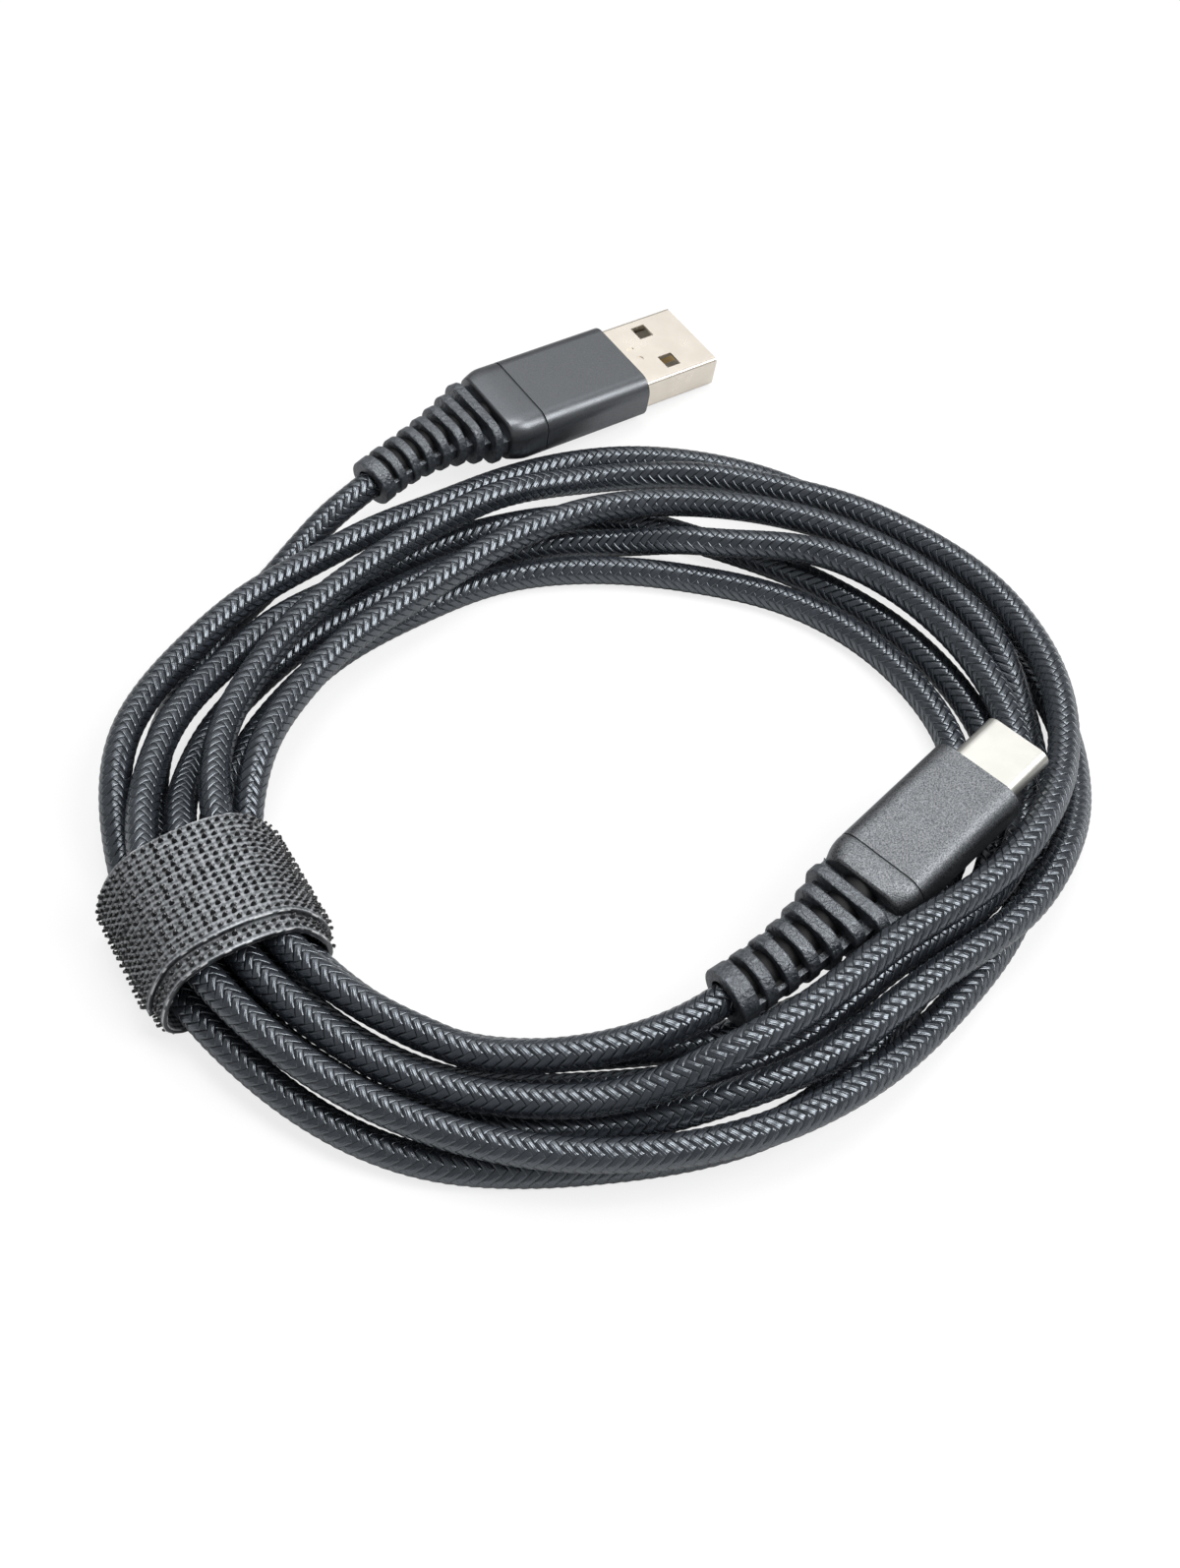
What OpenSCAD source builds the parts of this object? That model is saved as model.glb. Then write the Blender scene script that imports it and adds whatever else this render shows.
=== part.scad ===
// Charging cable: USB-A plug to USB-C plug, braided cord wound in a coil, hook-and-loop strap.
// Millimetres. +Z is up from the table, +Y runs away from the coil towards the USB-A plug.

/* [Cord] */
// Diameter of the braided cord.
cord_d = 3.6; // [3:0.1:5]
// Distance between the centres of two turns that lie side by side or on each other.
turn_pitch = 4.2; // [4:0.05:6]
// Part of the diameter that is cut flat where the coil rests.
rest_cut = 0.1; // [0.05:0.01:0.2]
// How far the strap lifts the bundle off the table.
bundle_lift = 2.0; // [1.5:0.1:4]
// Diameter of the inner jacket that enters a plug.
core_d = 2.8; // [2:0.1:3.4]

/* [Coil place] */
// Left-right place of the coil's centre.
coil_x = 0.4; // [-10:0.1:10]
// Near-far place of the coil's centre.
coil_y = -11.8; // [-30:0.1:10]

/* [USB-A plug] */
// Width of the shell.
a_shell_w = 12.0; // [11.9:0.05:12.1]
// Height of the shell.
a_shell_h = 4.5; // [4.4:0.05:4.6]
// Sheet thickness of the shell.
a_sheet = 0.3; // [0.2:0.05:0.4]
// Whole length of the shell.
a_shell_len = 18.75; // [18:0.05:20]
// Length of the shell that shows in front of the sleeve.
a_shell_out = 12.0; // [11.5:0.1:14]
// Length of a latching hole, along the plug.
a_hole_len = 2.2; // [1.8:0.1:2.6]
// Width of a latching hole.
a_hole_w = 2.4; // [2:0.1:3]
// Distance between the centres of the two latching holes.
a_hole_gap = 6.4; // [5:0.1:7]
// Distance of the latching holes from the tip.
a_hole_x = 6.2; // [5:0.1:7]
// Thickness of the contact carrier.
a_tongue_h = 1.9; // [1.6:0.05:2.2]
// Width of a contact.
a_contact_w = 1.0; // [0.8:0.05:1.2]
// How far the metal sleeve stands out beyond the shell on each side.
a_sleeve_side = 0.95; // [0.8:0.05:2]
// How far the metal sleeve stands out above and below the shell.
a_sleeve_rise = 1.0; // [0.8:0.05:2]
// Corner radius of the metal sleeve.
a_sleeve_r = 2.2; // [1:0.1:3]
// Length of the metal sleeve.
a_sleeve_len = 16.3; // [14:0.1:22]
// Length of the soft collar behind the sleeve.
a_collar_len = 5.2; // [3:0.1:8]

/* [USB-C plug] */
// Width of the shell.
c_shell_w = 8.34; // [8.2:0.02:8.4]
// Height of the shell.
c_shell_h = 2.56; // [2.4:0.02:2.6]
// Sheet thickness of the shell.
c_sheet = 0.2; // [0.15:0.01:0.25]
// Whole length of the shell.
c_shell_len = 11.0; // [9:0.1:12]
// Length of the shell that shows in front of the sleeve.
c_shell_out = 6.65; // [6.5:0.05:7.5]
// Distance between two contacts.
c_contact_pitch = 0.5; // [0.4:0.05:0.6]
// Width of a contact.
c_contact_w = 0.24; // [0.15:0.01:0.3]
// Height of the slot that takes the socket's tongue.
c_slot_h = 0.86; // [0.8:0.02:1.0]
// How far the metal sleeve stands out beyond the shell on each side.
c_sleeve_side = 1.53; // [1:0.01:2.5]
// How far the metal sleeve stands out above and below the shell.
c_sleeve_rise = 1.72; // [1:0.01:2.5]
// Corner radius of the metal sleeve.
c_sleeve_r = 2.2; // [1:0.1:3]
// Length of the metal sleeve.
c_sleeve_len = 15.8; // [14:0.1:22]
// Length of the soft collar behind the sleeve.
c_collar_len = 3.3; // [2:0.1:6]

/* [Sleeves and reliefs] */
// Wall of the metal sleeves.
sleeve_wall = 0.7; // [0.5:0.05:1.2]
// Clearance between a shell and the sleeve's front wall.
front_gap = 0.1; // [0.05:0.05:0.3]
// Diameter of the strain relief's core.
relief_core_d = 4.6; // [4.2:0.1:6]
// Number of rings on the USB-A plug's relief.
a_relief_rings = 8; // [5:1:10]
// Number of rings on the USB-C plug's relief.
c_relief_rings = 7; // [5:1:10]
// Outer diameter of the last ring on the USB-A plug.
a_relief_end_d = 6.2; // [5.8:0.1:8]
// Outer diameter of the last ring on the USB-C plug.
c_relief_end_d = 6.5; // [5.8:0.1:8]
// How much narrower than the sleeve the first ring is, on the USB-A plug.
a_ring_step = 2.9; // [2:0.1:6]
// How much narrower than the sleeve the first ring is, on the USB-C plug.
c_ring_step = 0.9; // [0.6:0.1:4]
// Diameter of a wire in the USB-A plug.
a_wire_d = 0.86; // [0.5:0.02:1]
// Diameter of a wire in the USB-C plug.
c_wire_d = 0.78; // [0.5:0.02:0.9]
// Clearance of a wire's ends from what it is soldered to and from the jacket.
wire_gap = 0.12; // [0.05:0.01:0.3]

/* [Strap] */
// Thickness of one layer of the strap.
strap_t = 0.6; // [0.6:0.1:2]
// Width of the strap, along the cord.
strap_w = 14.5; // [10:0.5:25]
// Clearance between the bundle and the strap.
strap_gap = 0.2; // [0.1:0.05:0.6]
// Gap between the strap's two layers.
strap_layer_gap = 0.1; // [0.05:0.01:0.2]
// How far the strap's first turn shows beside its second.
strap_step = 2; // [0:0.5:4]
// Height of the tail's free end above the table.
tail_end = 3; // [2:0.5:8]
// Gap between the tail's ends and the turn they belong to.
tail_gap = 0.15; // [0.1:0.05:0.5]

/* [Hidden] */
$fn = 48;

// ---- coil -------------------------------------------------------------------
// Stations go clockwise seen from above, sixteen to a turn, from the left.
// Each entry is [radius from the coil's centre, layer above the table].
stations = 16;
rest_z = cord_d / 2 - rest_cut * cord_d;
turn_1 = [[43.0, 1], [43.9, 1], [43.9, 1]];
turn_2 = [[43.0, 1], [40.8, 1], [39.4, 1], [41.2, 1], [46.2, 0.2], [46.6, 0.8], [49.6, 1],
  [53.0, 1], [52.2, 1.35], [48.3, 2], [42.6, 2], [43.8, 1.9], [46.2, 1], [47.9, 1],
  [48.1, 1], [48.1, 1]];
turn_3 = [[46.3, 0.05], [41.3, 0], [37.1, 0], [35.8, 0], [35.3, 0], [34.3, 0.9], [40.4, 1.05],
  [44.4, 1], [47.1, 0.9], [47.5, 0.93], [42.7, 1], [43.2, 0.3], [42.7, 0], [45.2, 0],
  [46.0, 0], [46.0, 0]];
turn_4 = [[41.2, 0], [36.7, 0], [32.7, 0], [31.4, 0], [30.5, 0], [31.2, 0], [34.5, 0],
  [38.0, 0], [41.0, 0], [41.2, 0], [40.2, 0], [39.0, 0], [38.5, 0], [41.0, 0], [41.9, 0],
  [41.8, 0]];
turn_5 = [[37.7, 1], [34.0, 1], [31.4, 1], [33.2, 1], [37.2, 1], [40.9, 1], [45.2, 1],
  [48.8, 0.9], [49.7, 0], [49.8, 0], [49.7, 0.4], [51.8, 1], [52.3, 1], [52.1, 1],
  [52.3, 1], [52.5, 1]];
turn_6 = [[49.4, 1], [45.0, 0.5], [41.4, 0], [40.2, 0], [39.8, 0], [37.7, 0], [39.1, 0],
  [42.3, 0], [45.4, 0], [45.5, 0], [45.5, 0], [49.8, 0], [51.3, 0], [54.2, 0], [54.6, 0],
  [54.8, 0]];
turn_7 = [[54.0, 1], [49.0, 0.95], [44.9, 0.8], [46.2, 0.3], [50.6, 0], [51.6, 0],
  [50.8, 0], [52.3, 0], [54.1, 0.1], [51.8, 1], [47.1, 1.35], [47.3, 1], [46.9, 0],
  [49.7, 0], [50.5, 0], [50.5, 0]];
turn_8 = [[51.2, 0], [50.2, 0]];
route = concat(turn_1, turn_2, turn_3, turn_4, turn_5, turn_6, turn_7, turn_8);
first_station = 13;
ring_step = stations / 24;

strap_turn = 330;
strap_station = strap_turn * stations / 360;

function wrap(a) = a - 360 * floor(a / 360);
function blend3(t) = t * t * (3 - 2 * t);
function clamp01(t) = min(1, max(0, t));
function spline(a, b, c, d, t) = 0.5 * (2 * b + (c - a) * t
  + (2 * a - 5 * b + 4 * c - d) * t * t + (3 * b - a - 3 * c + d) * t * t * t);
// Distance from the strap, in stations.
function off_strap(s) = abs(wrap((s - strap_station) * 360 / stations + 180) - 180)
  * stations / 360;
function lift(s) = bundle_lift * (1 - blend3(clamp01((off_strap(s) - 0.5) / 1.5)));
function last_entry() = len(route) - 1;
function entry(i) = route[max(0, min(last_entry(), i))];
function route_r(u) = let (i = min(floor(u), last_entry() - 1), t = u - i)
  spline(entry(i - 1)[0], entry(i)[0], entry(i + 1)[0], entry(i + 2)[0], t);
function route_l(u) = let (i = min(floor(u), last_entry() - 1), t = u - i)
  entry(i)[1] + (entry(i + 1)[1] - entry(i)[1]) * blend3(t);
function route_point(u) = let (s = u + first_station, a = 360 / stations * s)
  [coil_x - route_r(u) * cos(a), coil_y + route_r(u) * sin(a),
   rest_z + turn_pitch * route_l(u) + lift(s)];
ring_us = [for (i = [0 : floor(last_entry() / ring_step)]) i * ring_step];
coil_points = [for (u = ring_us) route_point(u)];
coil_end_u = ring_us[len(ring_us) - 1];

// Smallest distance between the centre lines of two turns, less the diameter.
fine_us = [for (i = [0 : 8 * last_entry()]) i / 8];
fine = [for (u = fine_us) route_point(u)];
least_gap = min([for (i = [0 : len(fine) - 1]) for (j = [i + 64 : 1 : len(fine) - 1])
  norm(fine[i] - fine[j])]) - cord_d;
echo(least_gap = least_gap);

// ---- tubes ------------------------------------------------------------------
function unit(v) = v / norm(v);
function tangent(p, i) = i == 0 ? unit(p[1] - p[0])
  : i == len(p) - 1 ? unit(p[i] - p[i - 1])
  : unit(unit(p[i] - p[i - 1]) + unit(p[i + 1] - p[i]));
function side_of(t) = unit(cross([0, 0, 1], t));
// Rings are mitred, so a tube keeps its width round a bend.
function ring(p, i, r, n) = let (t = tangent(p, i), a = side_of(t), b = cross(t, a))
  [for (k = [0 : n - 1]) p[i] + r * cos(360 / n * (k + (n == 8 ? 0.5 : 0))) * a
    + r * sin(360 / n * (k + (n == 8 ? 0.5 : 0))) * b];
function flat_foot(q) = [q[0], q[1], max(0, q[2])];

module tube(p, r, n) {
  m = len(p);
  pts = [for (i = [0 : m - 1]) for (q = ring(p, i, r, n)) flat_foot(q)];
  sides = [for (i = [0 : m - 2]) for (k = [0 : n - 1])
    let (k2 = (k + 1) % n, a = i * n + k, b = i * n + k2, c = a + n, d = b + n)
    each [[a, c, b], [b, c, d]]];
  cap_a = [for (k = [1 : n - 2]) [0, k, k + 1]];
  last = (m - 1) * n;
  cap_b = [for (k = [1 : n - 2]) [last, last + k + 1, last + k]];
  polyhedron(points = pts, faces = concat(sides, cap_a, cap_b), convexity = 10);
}

// ---- plug poses -------------------------------------------------------------
// A plug's own frame has its tip at the origin, its body along -X and its top towards +Z.
a_tip = [coil_x + 12.3, coil_y + 72.3, 2.9];
a_yaw = 35;
a_nose = -6;
a_roll = 5;
c_tip = [coil_x + 45.8, coil_y - 4.5, 10.2];
c_yaw = 44.7;
c_nose = 5;
c_roll = 0.5;

a_sleeve_w = a_shell_w + 2 * a_sleeve_side;
a_sleeve_h = a_shell_h + 2 * a_sleeve_rise;
c_sleeve_w = c_shell_w + 2 * c_sleeve_side;
c_sleeve_h = c_shell_h + 2 * c_sleeve_rise;
a_ring_w = a_sleeve_w - a_ring_step;
c_ring_w = c_sleeve_w - c_ring_step;
a_sleeve_end = a_shell_out + a_sleeve_len;
a_relief_x = a_sleeve_end + a_collar_len;
c_front = c_shell_out + 0.65;
c_sleeve_end = c_front + c_sleeve_len;
c_relief_x = c_sleeve_end + c_collar_len;
// A relief bends along an arc: its length, its bend and the bend's tilt about the plug's axis.
a_arc = 19;
a_bend = 17;
a_tilt = 37;
c_arc = 19.3;
c_bend = 10.5;
c_tilt = 192;
a_radius = a_arc * 180 / PI / a_bend;
c_radius = c_arc * 180 / PI / c_bend;

function turn_x(v, a) = [v[0], v[1] * cos(a) - v[2] * sin(a), v[1] * sin(a) + v[2] * cos(a)];
function turn_y(v, a) = [v[0] * cos(a) + v[2] * sin(a), v[1], v[2] * cos(a) - v[0] * sin(a)];
function turn_z(v, a) = [v[0] * cos(a) - v[1] * sin(a), v[0] * sin(a) + v[1] * cos(a), v[2]];
function facing(v, yaw, nose, roll) = turn_z(turn_y(turn_x(v, roll), -nose), yaw);
// End of a relief's arc and its direction there, in the plug's frame.
function arc_end(x, r, b, tilt) = [-x, 0, 0]
  + turn_x([-r * sin(b), -r * (1 - cos(b)), 0], tilt);
function arc_way(b, tilt) = turn_x([-cos(b), -sin(b), 0], tilt);
a_exit = a_tip + facing(arc_end(a_relief_x, a_radius, a_bend, a_tilt), a_yaw, a_nose, a_roll);
a_way = facing(arc_way(a_bend, a_tilt), a_yaw, a_nose, a_roll);
c_exit = c_tip + facing(arc_end(c_relief_x, c_radius, c_bend, c_tilt), c_yaw, c_nose, c_roll);
c_way = facing(arc_way(c_bend, c_tilt), c_yaw, c_nose, c_roll);

// ---- leads ------------------------------------------------------------------
coil_start = coil_points[0];
coil_stop = coil_points[len(coil_points) - 1];
start_way = tangent(coil_points, 0);
stop_way = tangent(coil_points, len(coil_points) - 1);
// Free stretches, from the coil's centre.
c_mid = [[4.6, -39.4, 6.2], [-1.4, -41.0, 6.0], [-7.2, -41.5, 5.8]];
a_mid = [[-41.6, 26.8, 1.9], [-38.0, 31.6, 3.4], [-34.0, 36.2, 5.3]];
function from_coil(p) = [for (q = p) q + [coil_x, coil_y, 0]];
c_lead_points = concat([c_exit, c_exit + cord_d * c_way], from_coil(c_mid),
  [coil_start - cord_d * start_way, coil_start]);
a_lead_points = concat([coil_stop, coil_stop + cord_d * stop_way], from_coil(a_mid),
  [a_exit + cord_d * a_way, a_exit]);
function curve(p, n) = concat([for (i = [0 : len(p) - 2]) for (k = [0 : n - 1])
  let (a = p[max(0, i - 1)], b = p[i], c = p[i + 1], d = p[min(len(p) - 1, i + 2)])
  i == 0 || i == len(p) - 2 ? (k == 0 ? b : undef) : spline(a, b, c, d, k / n)],
  [p[len(p) - 1]]);
function kept(p) = [for (q = p) if (q != undef) q];

module cord_coil() {
  color([0.13, 0.13, 0.14]) tube(coil_points, cord_d / 2, 6);
}
module cord_a_lead() {
  color([0.13, 0.13, 0.14]) tube(kept(curve(a_lead_points, 2)), cord_d / 2, 8);
}
module cord_c_lead() {
  color([0.13, 0.13, 0.14]) tube(kept(curve(c_lead_points, 2)), cord_d / 2, 8);
}

// ---- shared shapes ----------------------------------------------------------
module rounded_rect(w, h, r) {
  square([w - 2 * r, h], center = true);
  square([w, h - 2 * r], center = true);
  for (x = [-1, 1], y = [-1, 1])
    translate([x * (w / 2 - r), y * (h / 2 - r)]) circle(r);
}
module obround(w, h) {
  square([w - h, h], center = true);
  for (x = [-1, 1]) translate([x * (w - h) / 2, 0]) circle(h / 2);
}
// Extrudes a section (across, up) from x_front back to x_back.
module along(x_front, x_back) {
  translate([-x_back, 0, 0]) rotate([90, 0, 90]) linear_extrude(x_back - x_front) children();
}
// A box from x_front back to x_back, between two heights.
module slab(x_front, x_back, w, z0, z1, y = 0) {
  translate([-x_back, y - w / 2, z0]) cube([x_back - x_front, w, z1 - z0]);
}
// A round rod between two points.
module rod(p, q, d) {
  v = q - p;
  translate(p) rotate([0, acos(v[2] / norm(v)), atan2(v[1], v[0])])
    cylinder(h = norm(v), d = d);
}
module at_a() {
  translate(a_tip) rotate([a_roll, -a_nose, a_yaw]) children();
}
module at_c() {
  translate(c_tip) rotate([c_roll, -c_nose, c_yaw]) children();
}
// A place on a relief's arc, the part t of the way along.
module on_arc(x, r, b, tilt, t) {
  translate([-x, 0, 0]) rotate([tilt, 0, 0]) translate([0, -r, 0]) rotate([0, 0, b * t])
    translate([0, r, 0]) rotate([-tilt, 0, 0]) children();
}
module arc_core(x, r, b, tilt, d) {
  translate([-x, 0, 0]) rotate([tilt, 0, 0]) translate([0, -r, 0]) rotate([0, 0, 90])
    rotate_extrude(angle = b) translate([r, 0]) circle(d / 2);
}

// Soft relief: a collar behind the sleeve, then rings on a core with side webs. The rings'
// width falls off quickly at first, then slowly.
module relief(sleeve_w, sleeve_h, sleeve_r, ring_w, rings, end_d, x0, x1, r, b, tilt, arc) {
  pitch = arc / (rings + 0.2);
  difference() {
    union() {
      along(x0, x1 - 1) rounded_rect(sleeve_w - 0.3, sleeve_h - 0.3, sleeve_r - 0.15);
      hull() {
        along(x1 - 1.1, x1 - 1)
          rounded_rect(sleeve_w - 0.3, sleeve_h - 0.3, sleeve_r - 0.15, $fn = 32);
        along(x1 - 0.1, x1)
          rounded_rect(sleeve_w - 2.1, sleeve_h - 1.2, sleeve_r - 0.4, $fn = 32);
      }
      arc_core(x1, r, b, tilt, relief_core_d);
      for (i = [0 : rings - 1]) {
        fall = pow(1 - i / (rings - 1), 3);
        on_arc(x1, r, b, tilt, (i + 0.8) * pitch / arc)
          relief_ring(mix(end_d, ring_w, fall), mix(end_d, sleeve_h - 0.2, fall), pitch,
            i == rings - 1);
      }
    }
    along(x0 - 1, x1 - 0.5) circle(core_d / 2);
  }
}
function mix(a, b, t) = a + (b - a) * t;
// One ring, its centre at the origin, and the webs that tie it to the ring in front.
module relief_ring(w, h, pitch, last) {
  long = pitch * (last ? 0.8 : 0.52);
  along(-long / 2, long / 2) rounded_rect(w, h, min(w, h) / 2 - 0.05);
  for (y = [-1, 1])
    slab(-pitch * 0.85, 0, 1.3, -h * 0.15, h * 0.15, y * (w / 2 - 0.9));
}

// ---- USB-A plug -------------------------------------------------------------
a_contact_ys = [-3.5, -1, 1, 3.5];
a_floor = -a_shell_h / 2 + a_sheet;
a_top = a_floor + a_tongue_h;
contact_tail = 1.65;
wire_room = 4.2;
a_tail_x = a_shell_len + contact_tail;
a_core_x = a_tail_x + wire_room;
a_contact_t = 0.3;
a_mould_w = a_sleeve_w - 2 * sleeve_wall;
a_mould_h = a_sleeve_h - 2 * sleeve_wall;
pocket_wall = 1.5;
pocket_roof = 0.85;
a_pocket_h = a_mould_h - 2 * pocket_roof;

module usb_a_shell() {
  color([0.78, 0.76, 0.73]) at_a() difference() {
    along(0, a_shell_len) rounded_rect(a_shell_w, a_shell_h, 0.6);
    along(-1, a_shell_len + 1)
      rounded_rect(a_shell_w - 2 * a_sheet, a_shell_h - 2 * a_sheet, 0.3);
    for (y = [-1, 1])
      slab(a_hole_x - a_hole_len / 2, a_hole_x + a_hole_len / 2, a_hole_w,
        -a_shell_h, a_shell_h, y * a_hole_gap / 2);
    // Stamped dimple and the notch beside it.
    translate([-9.6, -1.2, a_shell_h / 2 - 0.12]) cylinder(h = 1, d = 0.9);
    slab(9.3, 10.3, 0.35, a_shell_h / 2 - 0.12, a_shell_h, 0.9);
  }
}
module a_contact_bars() {
  for (y = a_contact_ys)
    slab(abs(y) > 2 ? 1.4 : 2.4, a_tail_x, a_contact_w, a_top - a_contact_t, a_top, y);
}
module usb_a_tongue() {
  color([0.93, 0.93, 0.9]) at_a() difference() {
    union() {
      slab(0.4, a_shell_len, a_shell_w - 2 * a_sheet - 0.4, a_floor, a_top);
      slab(a_shell_out + 1.2, a_shell_len, a_shell_w - 2 * a_sheet - 0.6, a_floor, -a_floor);
    }
    a_contact_bars();
  }
}
module usb_a_contacts() {
  color([0.85, 0.7, 0.35]) at_a() a_contact_bars();
}
module usb_a_inner_mould() {
  color([0.12, 0.12, 0.12]) at_a() difference() {
    along(a_shell_out + 0.9, a_sleeve_end)
      rounded_rect(a_mould_w, a_mould_h, a_sleeve_r - sleeve_wall);
    along(a_shell_out, a_shell_len) rounded_rect(a_shell_w, a_shell_h, 0.6);
    slab(a_shell_len - 0.01, a_core_x, a_mould_w - 2 * pocket_wall, -a_pocket_h / 2,
      a_pocket_h / 2);
    along(a_core_x - 0.1, a_sleeve_end + 1) circle(core_d / 2);
  }
}
module usb_a_sleeve() {
  color([0.2, 0.21, 0.23]) at_a() difference() {
    along(a_shell_out, a_sleeve_end) rounded_rect(a_sleeve_w, a_sleeve_h, a_sleeve_r);
    along(a_shell_out + 0.9, a_sleeve_end + 1)
      rounded_rect(a_mould_w, a_mould_h, a_sleeve_r - sleeve_wall);
    along(a_shell_out - 1, a_shell_out + 2)
      rounded_rect(a_shell_w + 2 * front_gap, a_shell_h + 2 * front_gap, 0.7);
  }
}
module usb_a_relief() {
  color([0.1, 0.1, 0.1]) at_a() relief(a_sleeve_w, a_sleeve_h, a_sleeve_r, a_ring_w,
    a_relief_rings, a_relief_end_d, a_sleeve_end, a_relief_x, a_radius, a_bend, a_tilt, a_arc);
}
module usb_a_core() {
  color([0.2, 0.2, 0.2]) at_a() along(a_core_x, a_relief_x - 0.5) circle(core_d / 2);
}
module a_wire(y, up) {
  at_a() rod([-a_tail_x + 0.5, y, a_top + a_wire_d / 2 + wire_gap],
    [-a_core_x + 2 * wire_gap, sign(y) * 0.55, up * 0.55], a_wire_d);
}
module usb_a_wire_red() { color([0.75, 0.1, 0.1]) a_wire(-3.5, 1); }
module usb_a_wire_white() { color([0.9, 0.9, 0.9]) a_wire(-1, -1); }
module usb_a_wire_green() { color([0.1, 0.5, 0.2]) a_wire(1, -1); }
module usb_a_wire_black() { color([0.05, 0.05, 0.05]) a_wire(3.5, 1); }

// ---- USB-C plug -------------------------------------------------------------
c_in_w = c_shell_w - 2 * c_sheet;
c_in_h = c_shell_h - 2 * c_sheet;
c_cavity_w = c_in_w - 1.04;
c_cavity_x = 6.2;
c_board_h = 0.7;
c_board_x = c_shell_len + 0.2;
c_board_len = 6.2;
c_board_w = c_in_w - 0.34;
c_core_x = c_board_x + c_board_len + 2.1;
c_contact_t = 0.14;
c_contact_z = c_board_h / 2;
c_latch_y = c_in_w / 2 - 0.49;
c_latch_t = 0.18;
c_latch_h = 0.5;
c_latch_pivot = 7.2;
c_mould_w = c_sleeve_w - 2 * sleeve_wall;
c_mould_h = c_sleeve_h - 2 * sleeve_wall;
c_pocket_wall = 0.9;
c_pocket_h = c_mould_h - 2 * pocket_roof + 0.5;

module usb_c_shell() {
  color([0.8, 0.8, 0.8]) at_c() difference() {
    along(0, c_shell_len) obround(c_shell_w, c_shell_h);
    along(-1, c_shell_len + 1) obround(c_in_w, c_in_h);
  }
}
module c_contact_row(up) {
  z0 = up > 0 ? c_contact_z : -c_contact_z - c_contact_t;
  for (i = [-6 : 5])
    slab(1.2, c_board_x + 1.2, c_contact_w, z0, z0 + c_contact_t, (i + 0.5) * c_contact_pitch);
}
module usb_c_insulator() {
  color([0.08, 0.08, 0.08]) at_c() difference() {
    along(0.25, c_board_x) obround(c_in_w, c_in_h);
    along(0, c_cavity_x) rounded_rect(c_cavity_w, c_slot_h, 0.2);
    c_contact_row(1);
    c_contact_row(-1);
    // Side channels for the latch arms, and their seats.
    for (y = [-1, 1]) {
      slab(0, c_latch_pivot, 1.2, -c_latch_h / 2 - 0.06, c_latch_h / 2 + 0.06,
        y * (c_latch_y - c_latch_t / 2 - 0.1 + 0.6));
      slab(0, c_latch_pivot + 0.3, 0.62, -c_latch_h / 2 - 0.06, c_latch_h / 2 + 0.06,
        y * c_latch_y);
    }
  }
}
module usb_c_upper_contacts() {
  color([0.85, 0.7, 0.35]) at_c() c_contact_row(1);
}
module usb_c_lower_contacts() {
  color([0.85, 0.7, 0.35]) at_c() c_contact_row(-1);
}
// A latch arm: a flat spring with a round nose that reaches into the slot.
module c_latch(y) {
  color([0.75, 0.75, 0.75]) at_c() {
    slab(1.0, c_latch_pivot + 0.2, c_latch_t, -c_latch_h / 2, c_latch_h / 2, y * c_latch_y);
    intersection() {
      translate([-1.7, y * (c_latch_y - 0.05), -c_latch_h / 2]) cylinder(h = c_latch_h, d = 0.7);
      slab(1.0, 2.4, 0.6, -c_latch_h / 2, c_latch_h / 2, y * (c_latch_y - 0.3 + c_latch_t / 2));
    }
  }
}
module usb_c_latch_left() { c_latch(1); }
module usb_c_latch_right() { c_latch(-1); }
module usb_c_board() {
  color([0.05, 0.2, 0.1]) at_c()
    slab(c_board_x, c_board_x + c_board_len, c_board_w, -c_board_h / 2, c_board_h / 2);
}
module usb_c_resistor() {
  color([0.1, 0.1, 0.1]) at_c()
    slab(c_board_x + 2.2, c_board_x + 3, 1.6, c_board_h / 2, c_board_h / 2 + 0.45);
}
module usb_c_inner_mould() {
  color([0.12, 0.12, 0.12]) at_c() difference() {
    along(c_front + 0.9, c_sleeve_end)
      rounded_rect(c_mould_w, c_mould_h, c_sleeve_r - sleeve_wall);
    along(c_front, c_shell_len) obround(c_shell_w, c_shell_h);
    slab(c_shell_len - 0.01, c_core_x, c_mould_w - 2 * c_pocket_wall, -c_pocket_h / 2,
      c_pocket_h / 2);
    along(c_core_x - 0.1, c_sleeve_end + 1) circle(core_d / 2);
  }
}
module usb_c_sleeve() {
  color([0.2, 0.21, 0.23]) at_c() difference() {
    along(c_front, c_sleeve_end) rounded_rect(c_sleeve_w, c_sleeve_h, c_sleeve_r);
    along(c_front + 0.9, c_sleeve_end + 1)
      rounded_rect(c_mould_w, c_mould_h, c_sleeve_r - sleeve_wall);
    along(c_front - 1, c_front + 2) obround(c_shell_w + 2 * front_gap, c_shell_h + 2 * front_gap);
  }
}
module usb_c_relief() {
  color([0.1, 0.1, 0.1]) at_c() relief(c_sleeve_w, c_sleeve_h, c_sleeve_r, c_ring_w,
    c_relief_rings, c_relief_end_d, c_sleeve_end, c_relief_x, c_radius, c_bend, c_tilt, c_arc);
}
module usb_c_core() {
  color([0.2, 0.2, 0.2]) at_c() along(c_core_x, c_relief_x - 0.5) circle(core_d / 2);
}
module c_wire(y, up) {
  at_c() rod([-c_board_x - c_board_len + 1.8, y * (c_board_w / 2 - 1.4),
    up * (c_board_h / 2 + c_wire_d / 2 + wire_gap)],
    [-c_core_x + 2 * wire_gap, y * 0.55, up * 0.6], c_wire_d);
}
module usb_c_wire_red() { color([0.75, 0.1, 0.1]) c_wire(1, 1); }
module usb_c_wire_white() { color([0.9, 0.9, 0.9]) c_wire(-1, 1); }
module usb_c_wire_green() { color([0.1, 0.5, 0.2]) c_wire(1, -1); }
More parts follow.
